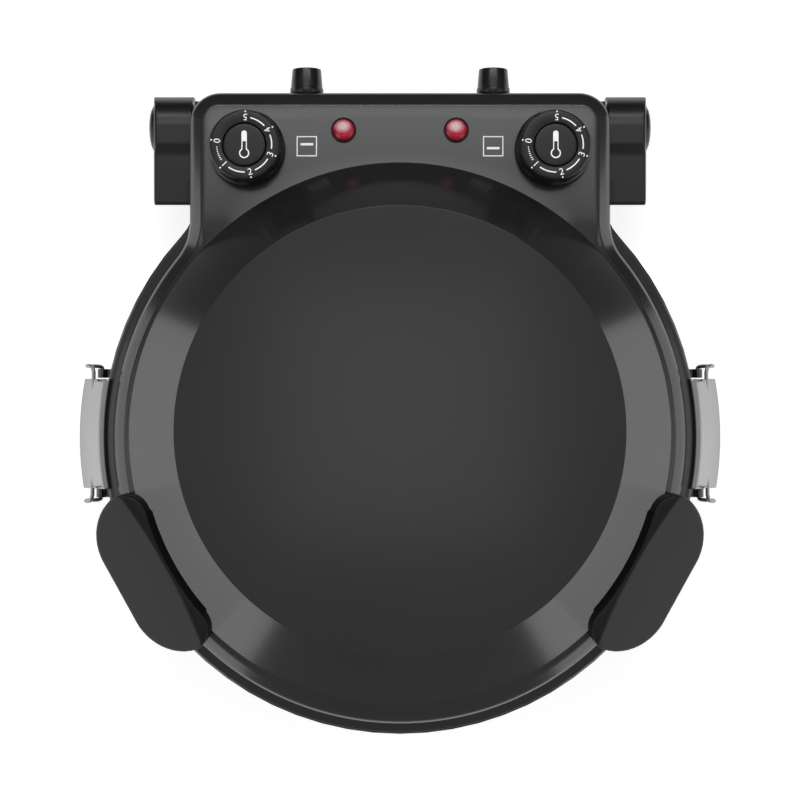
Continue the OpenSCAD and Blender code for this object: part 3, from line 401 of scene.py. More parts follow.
def keyhole(sizes, inset):
    """One ring of points at an inset, in mm round the circle's centre."""
    r, half, back, corner = [size - inset for size in sizes[:4]]
    corner, hollow = max(corner, 0.5), sizes[4] + inset
    hollow_y = math.sqrt((r + hollow) ** 2 - (half + hollow) ** 2)
    turn = math.degrees(math.atan2(hollow_y, half + hollow))
    points = arc((half + hollow, hollow_y), hollow, 180 + turn, 180, HOLLOW_STEPS)
    points += between((half, hollow_y), (half, back - corner), SIDE_STEPS)
    points += arc((half - corner, back - corner), corner, 0, 90, CORNER_STEPS)
    points += between((half - corner, back), (corner - half, back), BACK_STEPS)
    points += arc((corner - half, back - corner), corner, 90, 180, CORNER_STEPS)
    points += between((-half, back - corner), (-half, hollow_y), SIDE_STEPS)
    points += arc((-half - hollow, hollow_y), hollow, 0, -turn, HOLLOW_STEPS)
    points += arc((0, 0), r, 180 - turn, 360 + turn, ROUND_STEPS)[1:-1]
    return points


ANGLES = [math.atan2(y, x) for x, y in keyhole(COVER, 0)]
COUNT = len(ANGLES)
print("points in an outline:", COUNT)

# %% [markdown]
# ## Lofting rings into a shell
# Rings with the same number of points join into quads, ring by ring. A shell could also be
# cut from solids, but then its edges run anywhere. A loft's edges run along and across the
# form, and that is what smooth shading needs.


# %% Piece helpers
def new_object(name, data):
    """An object at the origin, unturned and unscaled."""
    made = bpy.data.objects.new(name, data)
    bpy.context.scene.collection.objects.link(made)
    return made


def smooth_piece(name, mesh, material):
    mesh.name = name
    mesh.shade_smooth()
    mesh.materials.clear()
    mesh.materials.append(material)
    return new_object(name, mesh)


def piece_from(name, points, faces, material):
    """A smooth piece from points in mm round the circle's centre, its faces turned outwards."""
    mesh = bpy.data.meshes.new(name)
    mesh.from_pydata([(x * MM, (y + CENTRE_Y) * MM, z * MM) for x, y, z in points], [], faces)
    bm = bmesh.new()
    bm.from_mesh(mesh)
    bmesh.ops.recalc_face_normals(bm, faces=bm.faces)
    bm.to_mesh(mesh)
    bm.free()
    return smooth_piece(name, mesh, material)


# %% Loft helpers
def ring_faces(rings, count, start=0, joined=False, ends=False):
    """Quads between neighbouring rings; joined closes the loop, ends adds a flat face at each."""
    faces = []
    for j in range(rings if joined else rings - 1):
        k = (j + 1) % rings
        for i in range(count):
            n = (i + 1) % count
            faces.append((j * count + i, j * count + n, k * count + n, k * count + i))
    if ends:
        faces += [range(count), range((rings - 1) * count, rings * count)]
    return [tuple(start + corner for corner in face) for face in faces]


def loft(name, rings, material, joined=False):
    """A shell through rings of points. Unless it is joined, a fan of triangles closes each end."""
    count = len(rings[0])
    points = [point for ring in rings for point in ring]
    faces = ring_faces(len(rings), count, joined=joined)
    if not joined:
        for base in (0, (len(rings) - 1) * count):
            middle = tuple(sum(axis) / count for axis in zip(*points[base:base + count]))
            points.append(middle)
            faces += [(base + i, base + (i + 1) % count, len(points) - 1) for i in range(count)]
    return piece_from(name, points, faces, material)


def smooth_stops(stops, steps):
    """Points on a soft curve through the stops (Catmull-Rom), for profiles and paths."""
    out = []
    for i in range(len(stops) - 1):
        p0, p1 = stops[max(i - 1, 0)], stops[i]
        p2, p3 = stops[i + 1], stops[min(i + 2, len(stops) - 1)]
        for k in range(steps):
            t = k / steps
            out.append(tuple(
                0.5 * (2 * b + (c - a) * t + (2 * a - 5 * b + 4 * c - d) * t * t
                       + (3 * b - a - 3 * c + d) * t ** 3)
                for a, b, c, d in zip(p0, p1, p2, p3)))
    out.append(stops[-1])
    return out


print("a loft of 3 rings of 4 points has", len(ring_faces(3, 4)), "quads")

# %% [markdown]
# ## The lid's cover
# One pressed sheet: a rolled edge, a bevelled shoulder, the console's flat panel, and a dome
# with a crisp foot and a crisp top. Sculpting or subdividing would soften those creases. Each
# part of the profile is swept round the outline instead, so the whole cover is one loft.

# %% Cover sizes, as in the CAD
COVER_LOW, SHOULDER_Z, SHEET = 80.0, 95.0, 1.5
PANEL_FRONT, PANEL_TILT = 130.0, math.tan(math.radians(3.5))
PANEL_UP, RING_DOWN, RING_LEAN = 0.6, 0.4, 0.5  # the ring is what lies round the dome's foot
STEP_START, STEP_RUN = 3.5, 5.0                 # where the ring turns into the panel
CREASE_IN, PANEL_IN = 9.2, 9.4                  # insets just past the shoulder
FOOT_R, FOOT_BACK = 165.3, 1.4
TOP_R, TOP_BACK, TOP_Z, CROWN = 134.0, 4.3, 130.0, 1.3


def crease_z(y):
    """Height of the shoulder's top: level at the front, sloping down over the console."""
    return SHOULDER_Z - max(0.0, y - PANEL_FRONT) * PANEL_TILT


# For each point of the outline: 1 on the console's panel, 0 on the ring round the dome.
on_console = [min(1.0, max(0.0, (math.hypot(x, y - FOOT_BACK) - FOOT_R - STEP_START) / STEP_RUN))
              for x, y in keyhole(COVER, CREASE_IN)]


def top_z(i, y):
    """Height of the cover's flat parts at the outline's point i."""
    return crease_z(y) + (PANEL_UP + RING_DOWN) * on_console[i] - RING_DOWN


def round_ring(r, back, heights):
    """A ring on the dome; r and heights are one number each, or a list with one per point."""
    radii = r if isinstance(r, list) else [r] * COUNT
    heights = heights if isinstance(heights, list) else [heights] * COUNT
    return [(r * math.cos(a), back + r * math.sin(a), z)
            for a, r, z in zip(ANGLES, radii, heights)]


print("points on the console:", sum(share == 1.0 for share in on_console))

# %% [markdown]
# The edge and the shoulder are one list of insets and heights. The heights are those at the
# front. Over the console they shrink with the sloping panel, so that the shoulder stays whole.


# %% Edge and shoulder
def edge_ring(inset, z):
    """A ring at an inset; z runs from the cover's lower edge to the shoulder's top."""
    share = (z - COVER_LOW) / (SHOULDER_Z - COVER_LOW)
    return [(x, y, COVER_LOW + (top_z(i, y) - COVER_LOW) * share)
            for i, (x, y) in enumerate(keyhole(COVER, inset))]


EDGE = [(0.9, 80.0), (0.25, 79.8), (0.0, 80.3), (0.0, 82.0), (0.05, 83.6), (0.25, 85.0),
        (0.6, 86.2), (1.2, 87.5), (2.0, 88.7), (3.0, 89.8), (4.4, 91.1), (6.0, 92.6),
        (7.4, 93.9), (7.9, 94.35), (8.4, 94.7), (9.0, 94.9)]
outer = [edge_ring(inset, z) for inset, z in EDGE]
print("rings in the edge and shoulder:", len(outer))

# %% [markdown]
# The dome is a cone that stands on a panel which isn't level. Where the panel is lower, the
# cone runs further down and its foot lies further out, which lowers the panel there again. A
# few rounds of working out one from the other settle both.

# %% Where the dome meets the panel
slope = (FOOT_R - TOP_R) / (TOP_Z - SHOULDER_Z)
lean = [RING_LEAN * (1 - share) for share in on_console]  # off the console the ring leans out
foot_r = [FOOT_R] * COUNT
for _ in range(5):
    foot_z = [top_z(i, FOOT_BACK + foot_r[i] * math.sin(a)) for i, a in enumerate(ANGLES)]
    foot_r = [FOOT_R + max(0.0, SHOULDER_Z - RING_DOWN - z) * slope for z in foot_z]
foot_z = [z + rise for z, rise in zip(foot_z, lean)]
print("foot's radius", round(min(foot_r), 2), "to", round(max(foot_r), 2))

# %% [markdown]
# The panel fills what lies between the shoulder and the foot. A last ring close to the foot
# holds its shading flat: without it the fillet's shade would smear across the whole panel.

# %% Panel
PANEL_RINGS, PANEL_GAP, FILLET_OUT, SUPPORT_OUT = 5, 0.8, 0.15, 0.4


def outside_foot(point, r):
    """The point itself, or where it would be if the foot of radius r pushed it out."""
    x, y = point[0], point[1] - FOOT_BACK
    length = math.hypot(x, y)
    return (x * r / length, FOOT_BACK + y * r / length) if length < r else point


panel = [outside_foot(p, foot_r[i] + PANEL_GAP) for i, p in enumerate(keyhole(COVER, PANEL_IN))]
far = round_ring([r + FILLET_OUT for r in foot_r], FOOT_BACK, 0)
for k in range(PANEL_RINGS):
    t = k / PANEL_RINGS
    flat = [(a[0] + (b[0] - a[0]) * t, a[1] + (b[1] - a[1]) * t) for a, b in zip(panel, far)]
    outer.append([(x, y, top_z(i, y) + lean[i] * t) for i, (x, y) in enumerate(flat)])
support = round_ring([r + SUPPORT_OUT for r in foot_r], FOOT_BACK, 0)
outer.append([(x, y, top_z(i, y) + lean[i]) for i, (x, y, _) in enumerate(support)])
print("rings so far:", len(outer))

# %% [markdown]
# A drawn crease is sharp but never a knife edge. The foot has a fillet of 0.3 mm and the
# crown one of 0.12 mm, each with rings close beside it, so that the flank and the top stay
# clean mirrors. The top swells by a little over a millimetre, as pressed sheet does.

# %% Dome
FOOT_FILLET, CROWN_FILLET = 0.3, 0.12
UP_SIDE = (-0.667, 0.745)  # one step up the dome's side: inwards and upwards


def cone_ring(share, out_mm=0.0, up_mm=0.0):
    """A ring on the dome: a share of the way up its side, moved by some millimetres."""
    back = FOOT_BACK + (TOP_BACK - FOOT_BACK) * share
    radii = [r + (TOP_R - r) * share + out_mm for r in foot_r]
    return round_ring(radii, back, [z + (TOP_Z - z) * share + up_mm for z in foot_z])


for t in (0.0, 0.2, 0.4, 0.6, 0.8, 1.0):
    out_mm = FILLET_OUT * (1 - t) ** 2 + UP_SIDE[0] * FOOT_FILLET * t * t
    outer.append(cone_ring(0.0, out_mm, UP_SIDE[1] * FOOT_FILLET * t * t))
outer += [cone_ring(share) for share in (0.02, 0.08, 0.2, 0.35, 0.5, 0.65, 0.8, 0.92, 0.98)]
for t in (0.0, 0.25, 0.5, 0.75, 1.0):
    below = CROWN_FILLET * (1 - t) ** 2
    outer.append(cone_ring(1.0, -UP_SIDE[0] * below - CROWN_FILLET * t * t, -UP_SIDE[1] * below))
for share in (0.994, 0.97, 0.9, 0.8, 0.65, 0.5, 0.35, 0.2, 0.08):
    outer.append(round_ring(TOP_R * share, TOP_BACK, TOP_Z + CROWN * (1 - share * share)))
print("rings outside:", len(outer))

# %% Cover piece
# Inside, a sheet's thickness below: from the middle of the dome out to the lower edge.
inner = [round_ring(60, TOP_BACK, TOP_Z + CROWN - SHEET - 0.5),
         round_ring(TOP_R - 3, TOP_BACK, TOP_Z - 2.5),
         round_ring(FOOT_R - 2, FOOT_BACK, [z - SHEET for z in foot_z]), edge_ring(10.2, 93.0),
         edge_ring(5.0, 89.6), edge_ring(1.5, 84.5), edge_ring(1.5, 80.2)]
cover = loft("lid_cover_pressing", inner + outer, lid_enamel)
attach(cover, "lid")
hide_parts("lid_cover")
print("cover rings", len(inner + outer), "faces", len(cover.data.polygons))

# %% [markdown]
# ## The lid's frame
# The frame is a thin pressed ring that lies on the base's rim and closes the lid from below.
# Only a narrow strip of it shows from above, and how far that strip slopes outwards decides
# how dark it looks. So its profile is drawn as a soft curve through measured stops.

# %% Lid frame
FRAME_TOP = [(1.5, 74.4), (1.42, 74.9), (1.7, 75.4), (2.4, 75.6), (4.5, 76.0), (7.4, 76.8),
             (9.2, 78.0), (10.0, 80.0), (10.0, 83.0)]
FRAME_UNDER = [(11.2, 83.0), (11.2, 74.3), (2.0, 74.3)]
frame_rings = [[(x, y, z) for x, y in keyhole(BASE, inset)]
               for inset, z in smooth_stops(FRAME_TOP, 3) + FRAME_UNDER]
lid_rim = loft("lid_frame_pressing", frame_rings, lid_enamel, joined=True)
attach(lid_rim, "lid")
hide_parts("lid_frame")
print("lid frame faces", len(lid_rim.data.polygons))

# %% [markdown]
# ## Grips and brackets
# Moulded plastic has no sharp edge anywhere: the mould's corners are rounded, and so every
# edge catches a thin light. The CAD solids have crisp edges, and a bevel would stumble over
# their curved corners. A voxel remesh of a copy turns such a solid into an even skin, and a
# few smoothing steps then round all its edges alike.


# %% Copies of CAD meshes
def merged_copy(name, node):
    """A copy of a CAD mesh with its loose triangles joined up."""
    mesh = nodes[node].data.copy()
    mesh.name = name
    bm = bmesh.new()
    bm.from_mesh(mesh)
    bmesh.ops.remove_doubles(bm, verts=bm.verts, dist=1e-6)
    bm.to_mesh(mesh)
    bm.free()
    return mesh


def worked_mesh(draft):
    """The plain mesh that a draft's modifiers or bevel give. The draft itself is removed."""
    view = bpy.context.evaluated_depsgraph_get()
    mesh = bpy.data.meshes.new_from_object(draft.evaluated_get(view))
    bpy.data.objects.remove(draft)
    return mesh


def rounded_copy(name, node, voxel_mm, steps, material):
    draft = new_object(name + "_draft", merged_copy(name + "_draft", node))
    remesh = draft.modifiers.new("skin", "REMESH")
    remesh.mode = "VOXEL"
    remesh.voxel_size = voxel_mm * MM
    smooth = draft.modifiers.new("soften", "SMOOTH")
    smooth.factor = 0.5
    smooth.iterations = steps
    piece = smooth_piece(name, worked_mesh(draft), material)
    print(name, "faces", len(piece.data.polygons))
    return piece


# %% Grips and brackets
for _, side in SIDES:
    grip = rounded_copy(side + "_grip_moulding", side + "_handle", 0.9, 5, grip_polyamide)
    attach(grip, "lid")
    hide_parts(side + "_handle")
    arm = rounded_copy(side + "_bracket_moulding", side + "_bracket", 0.8, 4, black_polyamide)
    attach(arm, "base")
    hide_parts(side + "_bracket")

# %% [markdown]
# ## Pressed shells
# The bowl, the pan, the reflector and the floor plate are pressed from sheet, and their CAD
# form is exact already. A CAD mesh is made of flat facets, though, and a glossy skin shows
# every one. Remeshing would blur the thin sheet, so each shell is only copied and shaded as one
# smooth surface, split where it really turns a corner. The lamps' turned rings join them.

# %% Smooth copies of the shells
CORNER_DEGREES = 28
SHELLS = (("base_bowl", "base", lid_enamel, "anthracite_enamel"),
          ("heat_pan", "base", aluminised, "bright_sheet"),
          ("lid_dish", "lid", aluminised, "bright_sheet"),
          ("bottom_cover", "base", plate_coat, "dark_plate"),
          ("lamp_bezels", "lid", dial_phenolic, "knob_plastic"))

for node, body, material, slot in SHELLS:
    name = node + "_pressing"
    shell = smooth_piece(name, merged_copy(name, node), material)
    shell.data.set_sharp_from_angle(angle=math.radians(CORNER_DEGREES))
    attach(shell, body)
    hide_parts(node)
    print(name, "faces", len(shell.data.polygons))

# %% [markdown]
# ## Clips
# A clip holds the lid down with a wire and a hooked plate, and two ears on the base carry it.
# The clips sit a little round towards the console. It is easiest to draw the right-hand one
# straight, and then to turn each of its points by the same small angle and to mirror them for
# the left-hand one.

# %% Clip sizes and placing
EAR_X, EAR_Z, BAR_X, BAR_Z, LEG_Y, WIRE_R = 188.5, 50.0, 191.0, 69.8, 42.15, 1.25
CLIP_HALF, CLIP_TURN = 34.0, math.radians(0.6)


def clip_place(side, point):
    """Where a point of the straight right-hand clip lies on the clip at a side."""
    x, y, z = point
    cos, sin = math.cos(CLIP_TURN), math.sin(CLIP_TURN)
    return (side * (x * cos - y * sin), x * sin + y * cos, z)


print("the bar's middle is at", [round(v, 2) for v in clip_place(1, (BAR_X, 0, BAR_Z))])

# %% [markdown]
# The bail is one length of hard wire, bent round pins. A curve with a round bevel is exactly
# that: a path and a thickness. Half the path is listed, from the middle of the bar to the end
# in the ear, and the other half is its mirror image.

# %% Bent wires
WIRE_HALF = [(BAR_X, 0, BAR_Z), (BAR_X, 30, BAR_Z), (BAR_X, 36.6, BAR_Z), (BAR_X, 38.0, BAR_Z),
             (BAR_X + 0.9, 41.2, BAR_Z - 0.5), (BAR_X + 3.0, LEG_Y, BAR_Z - 2.2),
             (BAR_X + 4.7, LEG_Y, BAR_Z - 5.0), (BAR_X + 4.8, LEG_Y, EAR_Z + 10.5),
             (BAR_X + 3.6, LEG_Y, EAR_Z + 6.2), (EAR_X + 2.2, LEG_Y, EAR_Z + 2.3),
             (EAR_X + 0.4, LEG_Y - 0.6, EAR_Z + 0.2), (EAR_X, LEG_Y - 2.2, EAR_Z),
             (EAR_X, 35.7, EAR_Z)]
WIRE_PATH = smooth_stops([(x, -y, z) for x, y, z in reversed(WIRE_HALF[1:])] + WIRE_HALF, 5)


def bent_wire(name, side):
    curve = bpy.data.curves.new(name, "CURVE")
    curve.dimensions = "3D"
    curve.bevel_depth = WIRE_R * MM
    curve.bevel_resolution = 6
    curve.use_fill_caps = True
    spline = curve.splines.new("POLY")
    spline.points.add(len(WIRE_PATH) - 1)
    for point, stop in zip(spline.points, WIRE_PATH):
        x, y, z = clip_place(side, stop)
        point.co = (x * MM, (y + CENTRE_Y) * MM, z * MM, 1)
    return smooth_piece(name, worked_mesh(new_object(name + "_path", curve)), clip_nickel)


print("wire's length, mm:", round(sum(math.dist(a, b) for a, b in zip(WIRE_PATH, WIRE_PATH[1:]))))

# %% [markdown]
# The plate is a strip, pressed to one profile (claw, crest, slope, hem) and bent round the
# base. A flat strip with a bend modifier would do, but here each point of the profile simply
# runs along its own arc, and the ends are cut off square. Two small tabs under the plate hang
# on the wire.

# %% Plate profile
CLAW_R, PLATE_OUT, CREST_Z, HEM_Z, PLATE_T = 182.2, 200.4, 79.0, 62.5, 1.1
BEND_R = CLAW_R + 3.7
PLATE_OUTSIDE = [
    (CLAW_R, CREST_Z - 3.0), (CLAW_R, CREST_Z - 1.3), (CLAW_R + 0.35, CREST_Z - 0.45),
    (CLAW_R + 1.2, CREST_Z), (BEND_R - 0.9, CREST_Z), (BEND_R - 0.1, CREST_Z - 0.18),
    (BEND_R + 0.75, CREST_Z - 0.9), (PLATE_OUT - 1.1, HEM_Z + 2.45),
    (PLATE_OUT - 0.3, HEM_Z + 1.4), (PLATE_OUT, HEM_Z + 0.4), (PLATE_OUT, HEM_Z - 0.9)]
PLATE_INSIDE = [
    (PLATE_OUT - PLATE_T, HEM_Z - 0.9), (PLATE_OUT - PLATE_T, HEM_Z + 0.5),
    (PLATE_OUT - PLATE_T - 0.6, HEM_Z + 1.4), (BEND_R - 0.3, CREST_Z - PLATE_T - 0.7),
    (BEND_R - 0.9, CREST_Z - PLATE_T), (CLAW_R + PLATE_T + 0.3, CREST_Z - PLATE_T),
    (CLAW_R + PLATE_T, CREST_Z - PLATE_T - 0.4), (CLAW_R + PLATE_T, CREST_Z - 3.0)]
PLATE_PROFILE = PLATE_OUTSIDE + PLATE_INSIDE
TAB = [(BAR_X - 3.4, BAR_Z + 0.6), (BAR_X - 2.6, BAR_Z - 2.2), (BAR_X, BAR_Z - 3.0),
       (BAR_X + 2.2, BAR_Z - 2.4), (PLATE_OUT - 5.6, HEM_Z + 1.2),
       (CLAW_R + 5.9, CREST_Z - 3.2), (BAR_X - 3.6, CREST_Z - 1.0)]
print("points in the plate's profile:", len(PLATE_PROFILE), "and in a tab's:", len(TAB))

# %% Clip plates
PLATE_STOPS = (-1, -0.994, -0.97, -0.8, -0.6, -0.4, -0.2, 0, 0.2, 0.4, 0.6, 0.8, 0.97, 0.994, 1)
EASED, EASE = range(3, 9), 0.25  # the crest and the slope drop a little at the plate's ends
TAB_IN = 0.2


def clip_plate(name, side):
    points = []
    for stop in PLATE_STOPS:
        y = CLIP_HALF * stop
        for k, (r, z) in enumerate(PLATE_PROFILE):
            drop = EASE if abs(stop) == 1 and k in EASED else 0.0
            points.append(clip_place(side, (math.sqrt((r - drop) ** 2 - y * y), y, z - drop)))
    faces = ring_faces(len(PLATE_STOPS), len(PLATE_PROFILE), ends=True)
    for end in (-1, 1):
        start = len(points)
        for y in (CLIP_HALF - TAB_IN, CLIP_HALF - TAB_IN - PLATE_T):
            points += [clip_place(side, (x, end * y, z)) for x, z in TAB]
        faces += ring_faces(2, len(TAB), start, ends=True)
    return piece_from(name, points, faces, clip_nickel)


print("rows along a plate:", len(PLATE_STOPS))

# %% [markdown]
# The ears are the ends of the strap that is riveted to the base, rolled round the wire. A
# rolled ear is a short tube whose end is drawn in, so a few circles of changing size are all
# it takes.

# %% Rolled ears
EAR_STEPS = 28
EAR_RINGS = ((34.9, 2.0), (35.0, 2.75), (35.4, 3.0), (38.6, 3.0), (39.7, 2.85), (40.3, 2.4),
             (40.45, 1.7))


def clip_ears(name, side):
    points, faces = [], []
    for end in (-1, 1):
        faces += ring_faces(len(EAR_RINGS), EAR_STEPS, len(points), ends=True)
        points += [clip_place(side, (x, end * y, z)) for y, r in EAR_RINGS
                   for x, z in circle((EAR_X, EAR_Z), r, EAR_STEPS)]
    return piece_from(name, points, faces, ear_steel_painted_dark)


print("an ear is", round(EAR_RINGS[-1][0] - EAR_RINGS[0][0], 2), "mm long")

# %% Clip pieces
for side, word in SIDES:
    bail = bent_wire(word + "_bail_wire", side)
    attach(bail, word + "_bail")
    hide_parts(word + "_clip_wire")
    plate = clip_plate(word + "_bent_plate", side)
    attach(plate, word + "_plate")
    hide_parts(word + "_clip_lever")
    ears = clip_ears(word + "_rolled_ears", side)
    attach(ears, "base")
    print(word, "clip faces", *[len(piece.data.polygons) for piece in (bail, plate, ears)])

# %% [markdown]
# ## Rivets and heaters, grown by Geometry Nodes
# Some parts are better written as a rule than as a list of points. A heater is a tube swept
# along a path, and a rivet's head is the same dome set down at many spots. Geometry Nodes
# say exactly that, with named sizes that can be changed afterwards. The result is turned into
# plain meshes at the end, because other programs don't know the nodes.


# %% Node group helpers
def geometry_group(name, sizes):
    """An empty tree with a geometry going in and out and one named input for each size."""
    tree = bpy.data.node_groups.new(name, "GeometryNodeTree")
    tree.interface.new_socket("Geometry", in_out="INPUT", socket_type="NodeSocketGeometry")
    tree.interface.new_socket("Geometry", in_out="OUTPUT", socket_type="NodeSocketGeometry")
    for label, value in sizes.items():
        socket = tree.interface.new_socket(label, in_out="INPUT", socket_type="NodeSocketFloat")
        socket.default_value = value
    return tree, add(tree, "NodeGroupInput").outputs


def close_group(tree, geometry, material):
    """The last nodes of every tree: smooth shading, real meshes in place of copies, a finish."""
    smooth = add(tree, "GeometryNodeSetShadeSmooth", {"Geometry": geometry})
    real = add(tree, "GeometryNodeRealizeInstances", {"Geometry": smooth.outputs[0]})
    finish = add(tree, "GeometryNodeSetMaterial",
                 {"Geometry": real.outputs[0], "Material": material})
    add(tree, "NodeGroupOutput", {"Geometry": finish.outputs[0]})
    print(tree.name, "has", len(tree.nodes), "nodes")


def grow(name, tree, points, edges, sizes, facing=None):
    """Runs a tree on a guide of points in mm and leaves a plain mesh piece."""
    mesh = bpy.data.meshes.new(name + "_guide")
    mesh.from_pydata([(x * MM, (y + CENTRE_Y) * MM, z * MM) for x, y, z in points], edges, [])
    if facing:
        attribute = mesh.attributes.new("facing", "FLOAT_VECTOR", "POINT")
        attribute.data.foreach_set("vector", [c for direction in facing for c in direction])
    piece = new_object(name, mesh)
    modifier = piece.modifiers.new("grow", "NODES")
    modifier.node_group = tree
    for item in tree.interface.items_tree:
        if item.in_out == "INPUT" and item.name in sizes:
            modifier[item.identifier] = sizes[item.name]
    evaluated = piece.evaluated_get(bpy.context.evaluated_depsgraph_get())
    result = bpy.data.meshes.new_from_object(evaluated)
    piece.modifiers.clear()
    piece.data = result
    return piece


# %% [markdown]
# A heater is a steel sheath packed with powder round a coiled wire, bent to a ring, with a
# thin pin coming out of each cold end. The tree rounds the path's corners, cuts it short for
# the thick sheath, and sweeps a circle along the short path and a smaller one along the whole.

# %% Swept heater tree
sweep, given = geometry_group("swept_heater", {"Tube Radius": 0.0035, "Pin Radius": 0.0015,
                                               "Pin Length": 0.008, "Bend Radius": 0.006})
path = add(sweep, "GeometryNodeMeshToCurve", {"Mesh": given["Geometry"]}).outputs["Curve"]
path = add(sweep, "GeometryNodeFilletCurve",
           {"Curve": path, "Radius": given["Bend Radius"], "Count": 8, "Limit Radius": True},
           mode="POLY").outputs["Curve"]
length = add(sweep, "GeometryNodeCurveLength", {"Curve": path})
last = add(sweep, "ShaderNodeMath", {0: length.outputs[0], 1: given["Pin Length"]},
           operation="SUBTRACT")
hot = add(sweep, "GeometryNodeTrimCurve", {"Curve": path}, mode="LENGTH")
# The node carries hidden Start and End sockets for its other mode, so these are found by place.
start, end = [socket for socket in hot.inputs
              if socket.name in ("Start", "End") and socket.enabled][:2]
sweep.links.new(given["Pin Length"], start)
sweep.links.new(last.outputs[0], end)
joined = add(sweep, "GeometryNodeJoinGeometry")
for line, radius in ((hot.outputs[0], "Tube Radius"), (path, "Pin Radius")):
    ring = add(sweep, "GeometryNodeCurvePrimitiveCircle",
               {"Resolution": 24, "Radius": given[radius]})
    tube = add(sweep, "GeometryNodeCurveToMesh",
               {"Curve": line, "Profile Curve": ring.outputs[0], "Fill Caps": True})
    sweep.links.new(tube.outputs[0], joined.inputs[0])
close_group(sweep, joined.outputs[0], sheath)

# %% Heaters
TUBE_R, TUBE_BEND, PIN_X = 3.5, 5.0, 12.0
HEATERS = (("lower_element", "base", "lower_heater"), ("upper_element", "lid", "upper_heater"))


def heater_path(ring_r, pin_x, reach, z, step=2.5):
    """Round the ring from pin to pin, then out to the rear through the shell."""
    gap = math.degrees(math.asin(pin_x / ring_r))
    count = int((360 - 2 * gap) / step)
    ring = [(x, y, z) for x, y in arc((0, 0), ring_r, 90 + gap, 450 - gap, count)]
    return [(-pin_x, reach, z), *ring, (pin_x, reach, z)]


for node, body, name in HEATERS:
    low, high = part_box(node)
    ring_r = (high.x - low.x) / 2 / MM - TUBE_R
    guide = heater_path(ring_r, PIN_X, high.y / MM - CENTRE_Y, (low.z + high.z) / 2 / MM)
    heater = grow(name, sweep, guide, [(i, i + 1) for i in range(len(guide) - 1)],
                  {"Tube Radius": TUBE_R * MM, "Bend Radius": TUBE_BEND * MM})
    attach(heater, body)
    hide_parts(node)
    print(name, "faces", len(heater.data.polygons), "ring radius", round(ring_r, 1))

# %% [markdown]
# A rivet's head is hammered to a low dome. A grid is wrapped to that dome by arithmetic on
# each point's place: its x goes round, its y goes from the pole over the equator to the other
# pole, and the lower half is pressed flat. The dome is then set on each spot and turned to
# face the way that the spot's attribute says.

# %% Rivet head tree
heads, given = geometry_group("domed_heads", {"Head Radius": 0.0026, "Head Height": 0.0015})
sheet = add(heads, "GeometryNodeMeshGrid",
            {"Size X": 1.0, "Size Y": 1.0, "Vertices X": 33, "Vertices Y": 13})
where = add(heads, "ShaderNodeSeparateXYZ",
            {"Vector": add(heads, "GeometryNodeInputPosition").outputs[0]})
around = add(heads, "ShaderNodeMath", {0: where.outputs["X"], 1: 2 * math.pi},
             operation="MULTIPLY")
along = add(heads, "ShaderNodeMath", {0: where.outputs["Y"], 1: math.pi, 2: math.pi / 2},
            operation="MULTIPLY_ADD")
out = add(heads, "ShaderNodeMath", {0: along.outputs[0]}, operation="SINE")
out = add(heads, "ShaderNodeMath", {0: out.outputs[0], 1: given["Head Radius"]},
          operation="MULTIPLY")
up = add(heads, "ShaderNodeMath", {0: along.outputs[0]}, operation="COSINE")
up = add(heads, "ShaderNodeMath", {0: up.outputs[0], 1: 0.0}, operation="MAXIMUM")
up = add(heads, "ShaderNodeMath", {0: up.outputs[0], 1: given["Head Height"]}, operation="MULTIPLY")
parts = []
for operation in ("COSINE", "SINE"):
    wave = add(heads, "ShaderNodeMath", {0: around.outputs[0]}, operation=operation)
    parts.append(add(heads, "ShaderNodeMath", {0: wave.outputs[0], 1: out.outputs[0]},
                     operation="MULTIPLY"))
spot = add(heads, "ShaderNodeCombineXYZ",
           {"X": parts[0].outputs[0], "Y": parts[1].outputs[0], "Z": up.outputs[0]})
dome = add(heads, "GeometryNodeSetPosition",
           {"Geometry": sheet.outputs["Mesh"], "Position": spot.outputs[0]})
dome = add(heads, "GeometryNodeMergeByDistance",
           {"Geometry": dome.outputs[0], "Distance": 0.00001})
facing = add(heads, "GeometryNodeInputNamedAttribute", {"Name": "facing"},
             data_type="FLOAT_VECTOR")
turn = add(heads, "FunctionNodeAlignRotationToVector",
           {"Vector": facing.outputs["Attribute"]}, axis="Z")
placed = add(heads, "GeometryNodeInstanceOnPoints", {
    "Points": given["Geometry"], "Instance": dome.outputs[0], "Rotation": turn.outputs[0]})
close_group(heads, placed.outputs[0], clip_nickel)

# %% Rivets
RIVET_DEGREES, HEAD_R, HEAD_H = 8, 2.6, 1.5
low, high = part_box("clip_rivets")
rivet_z = (low.z + high.z) / 2 / MM
rivet_r = high.x / MM / math.cos(math.radians(RIVET_DEGREES) - CLIP_TURN) - HEAD_H
spots, ways = [], []
for side, _ in SIDES:
    for degrees in (-RIVET_DEGREES, RIVET_DEGREES):
        a = math.radians(degrees) + CLIP_TURN
        ways.append((side * math.cos(a), math.sin(a), 0.0))
        spots.append((side * rivet_r * math.cos(a), rivet_r * math.sin(a), rivet_z))
rivets = grow("domed_rivet_heads", heads, spots, [],
              {"Head Radius": HEAD_R * MM, "Head Height": HEAD_H * MM}, ways)
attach(rivets, "base")
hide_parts("clip_rivets")
print("rivets", len(spots), "faces", len(rivets.data.polygons))

# %% [markdown]
# ## Rear posts
# Two rubber posts keep the console off the wall, and carry the lid when it is open. Each is a
# turned shape about an axis that points to the rear: a collar, a taper and a crisp end. The
# collar and the end are measured from the post's own ends, so only the taper would change
# with its length.

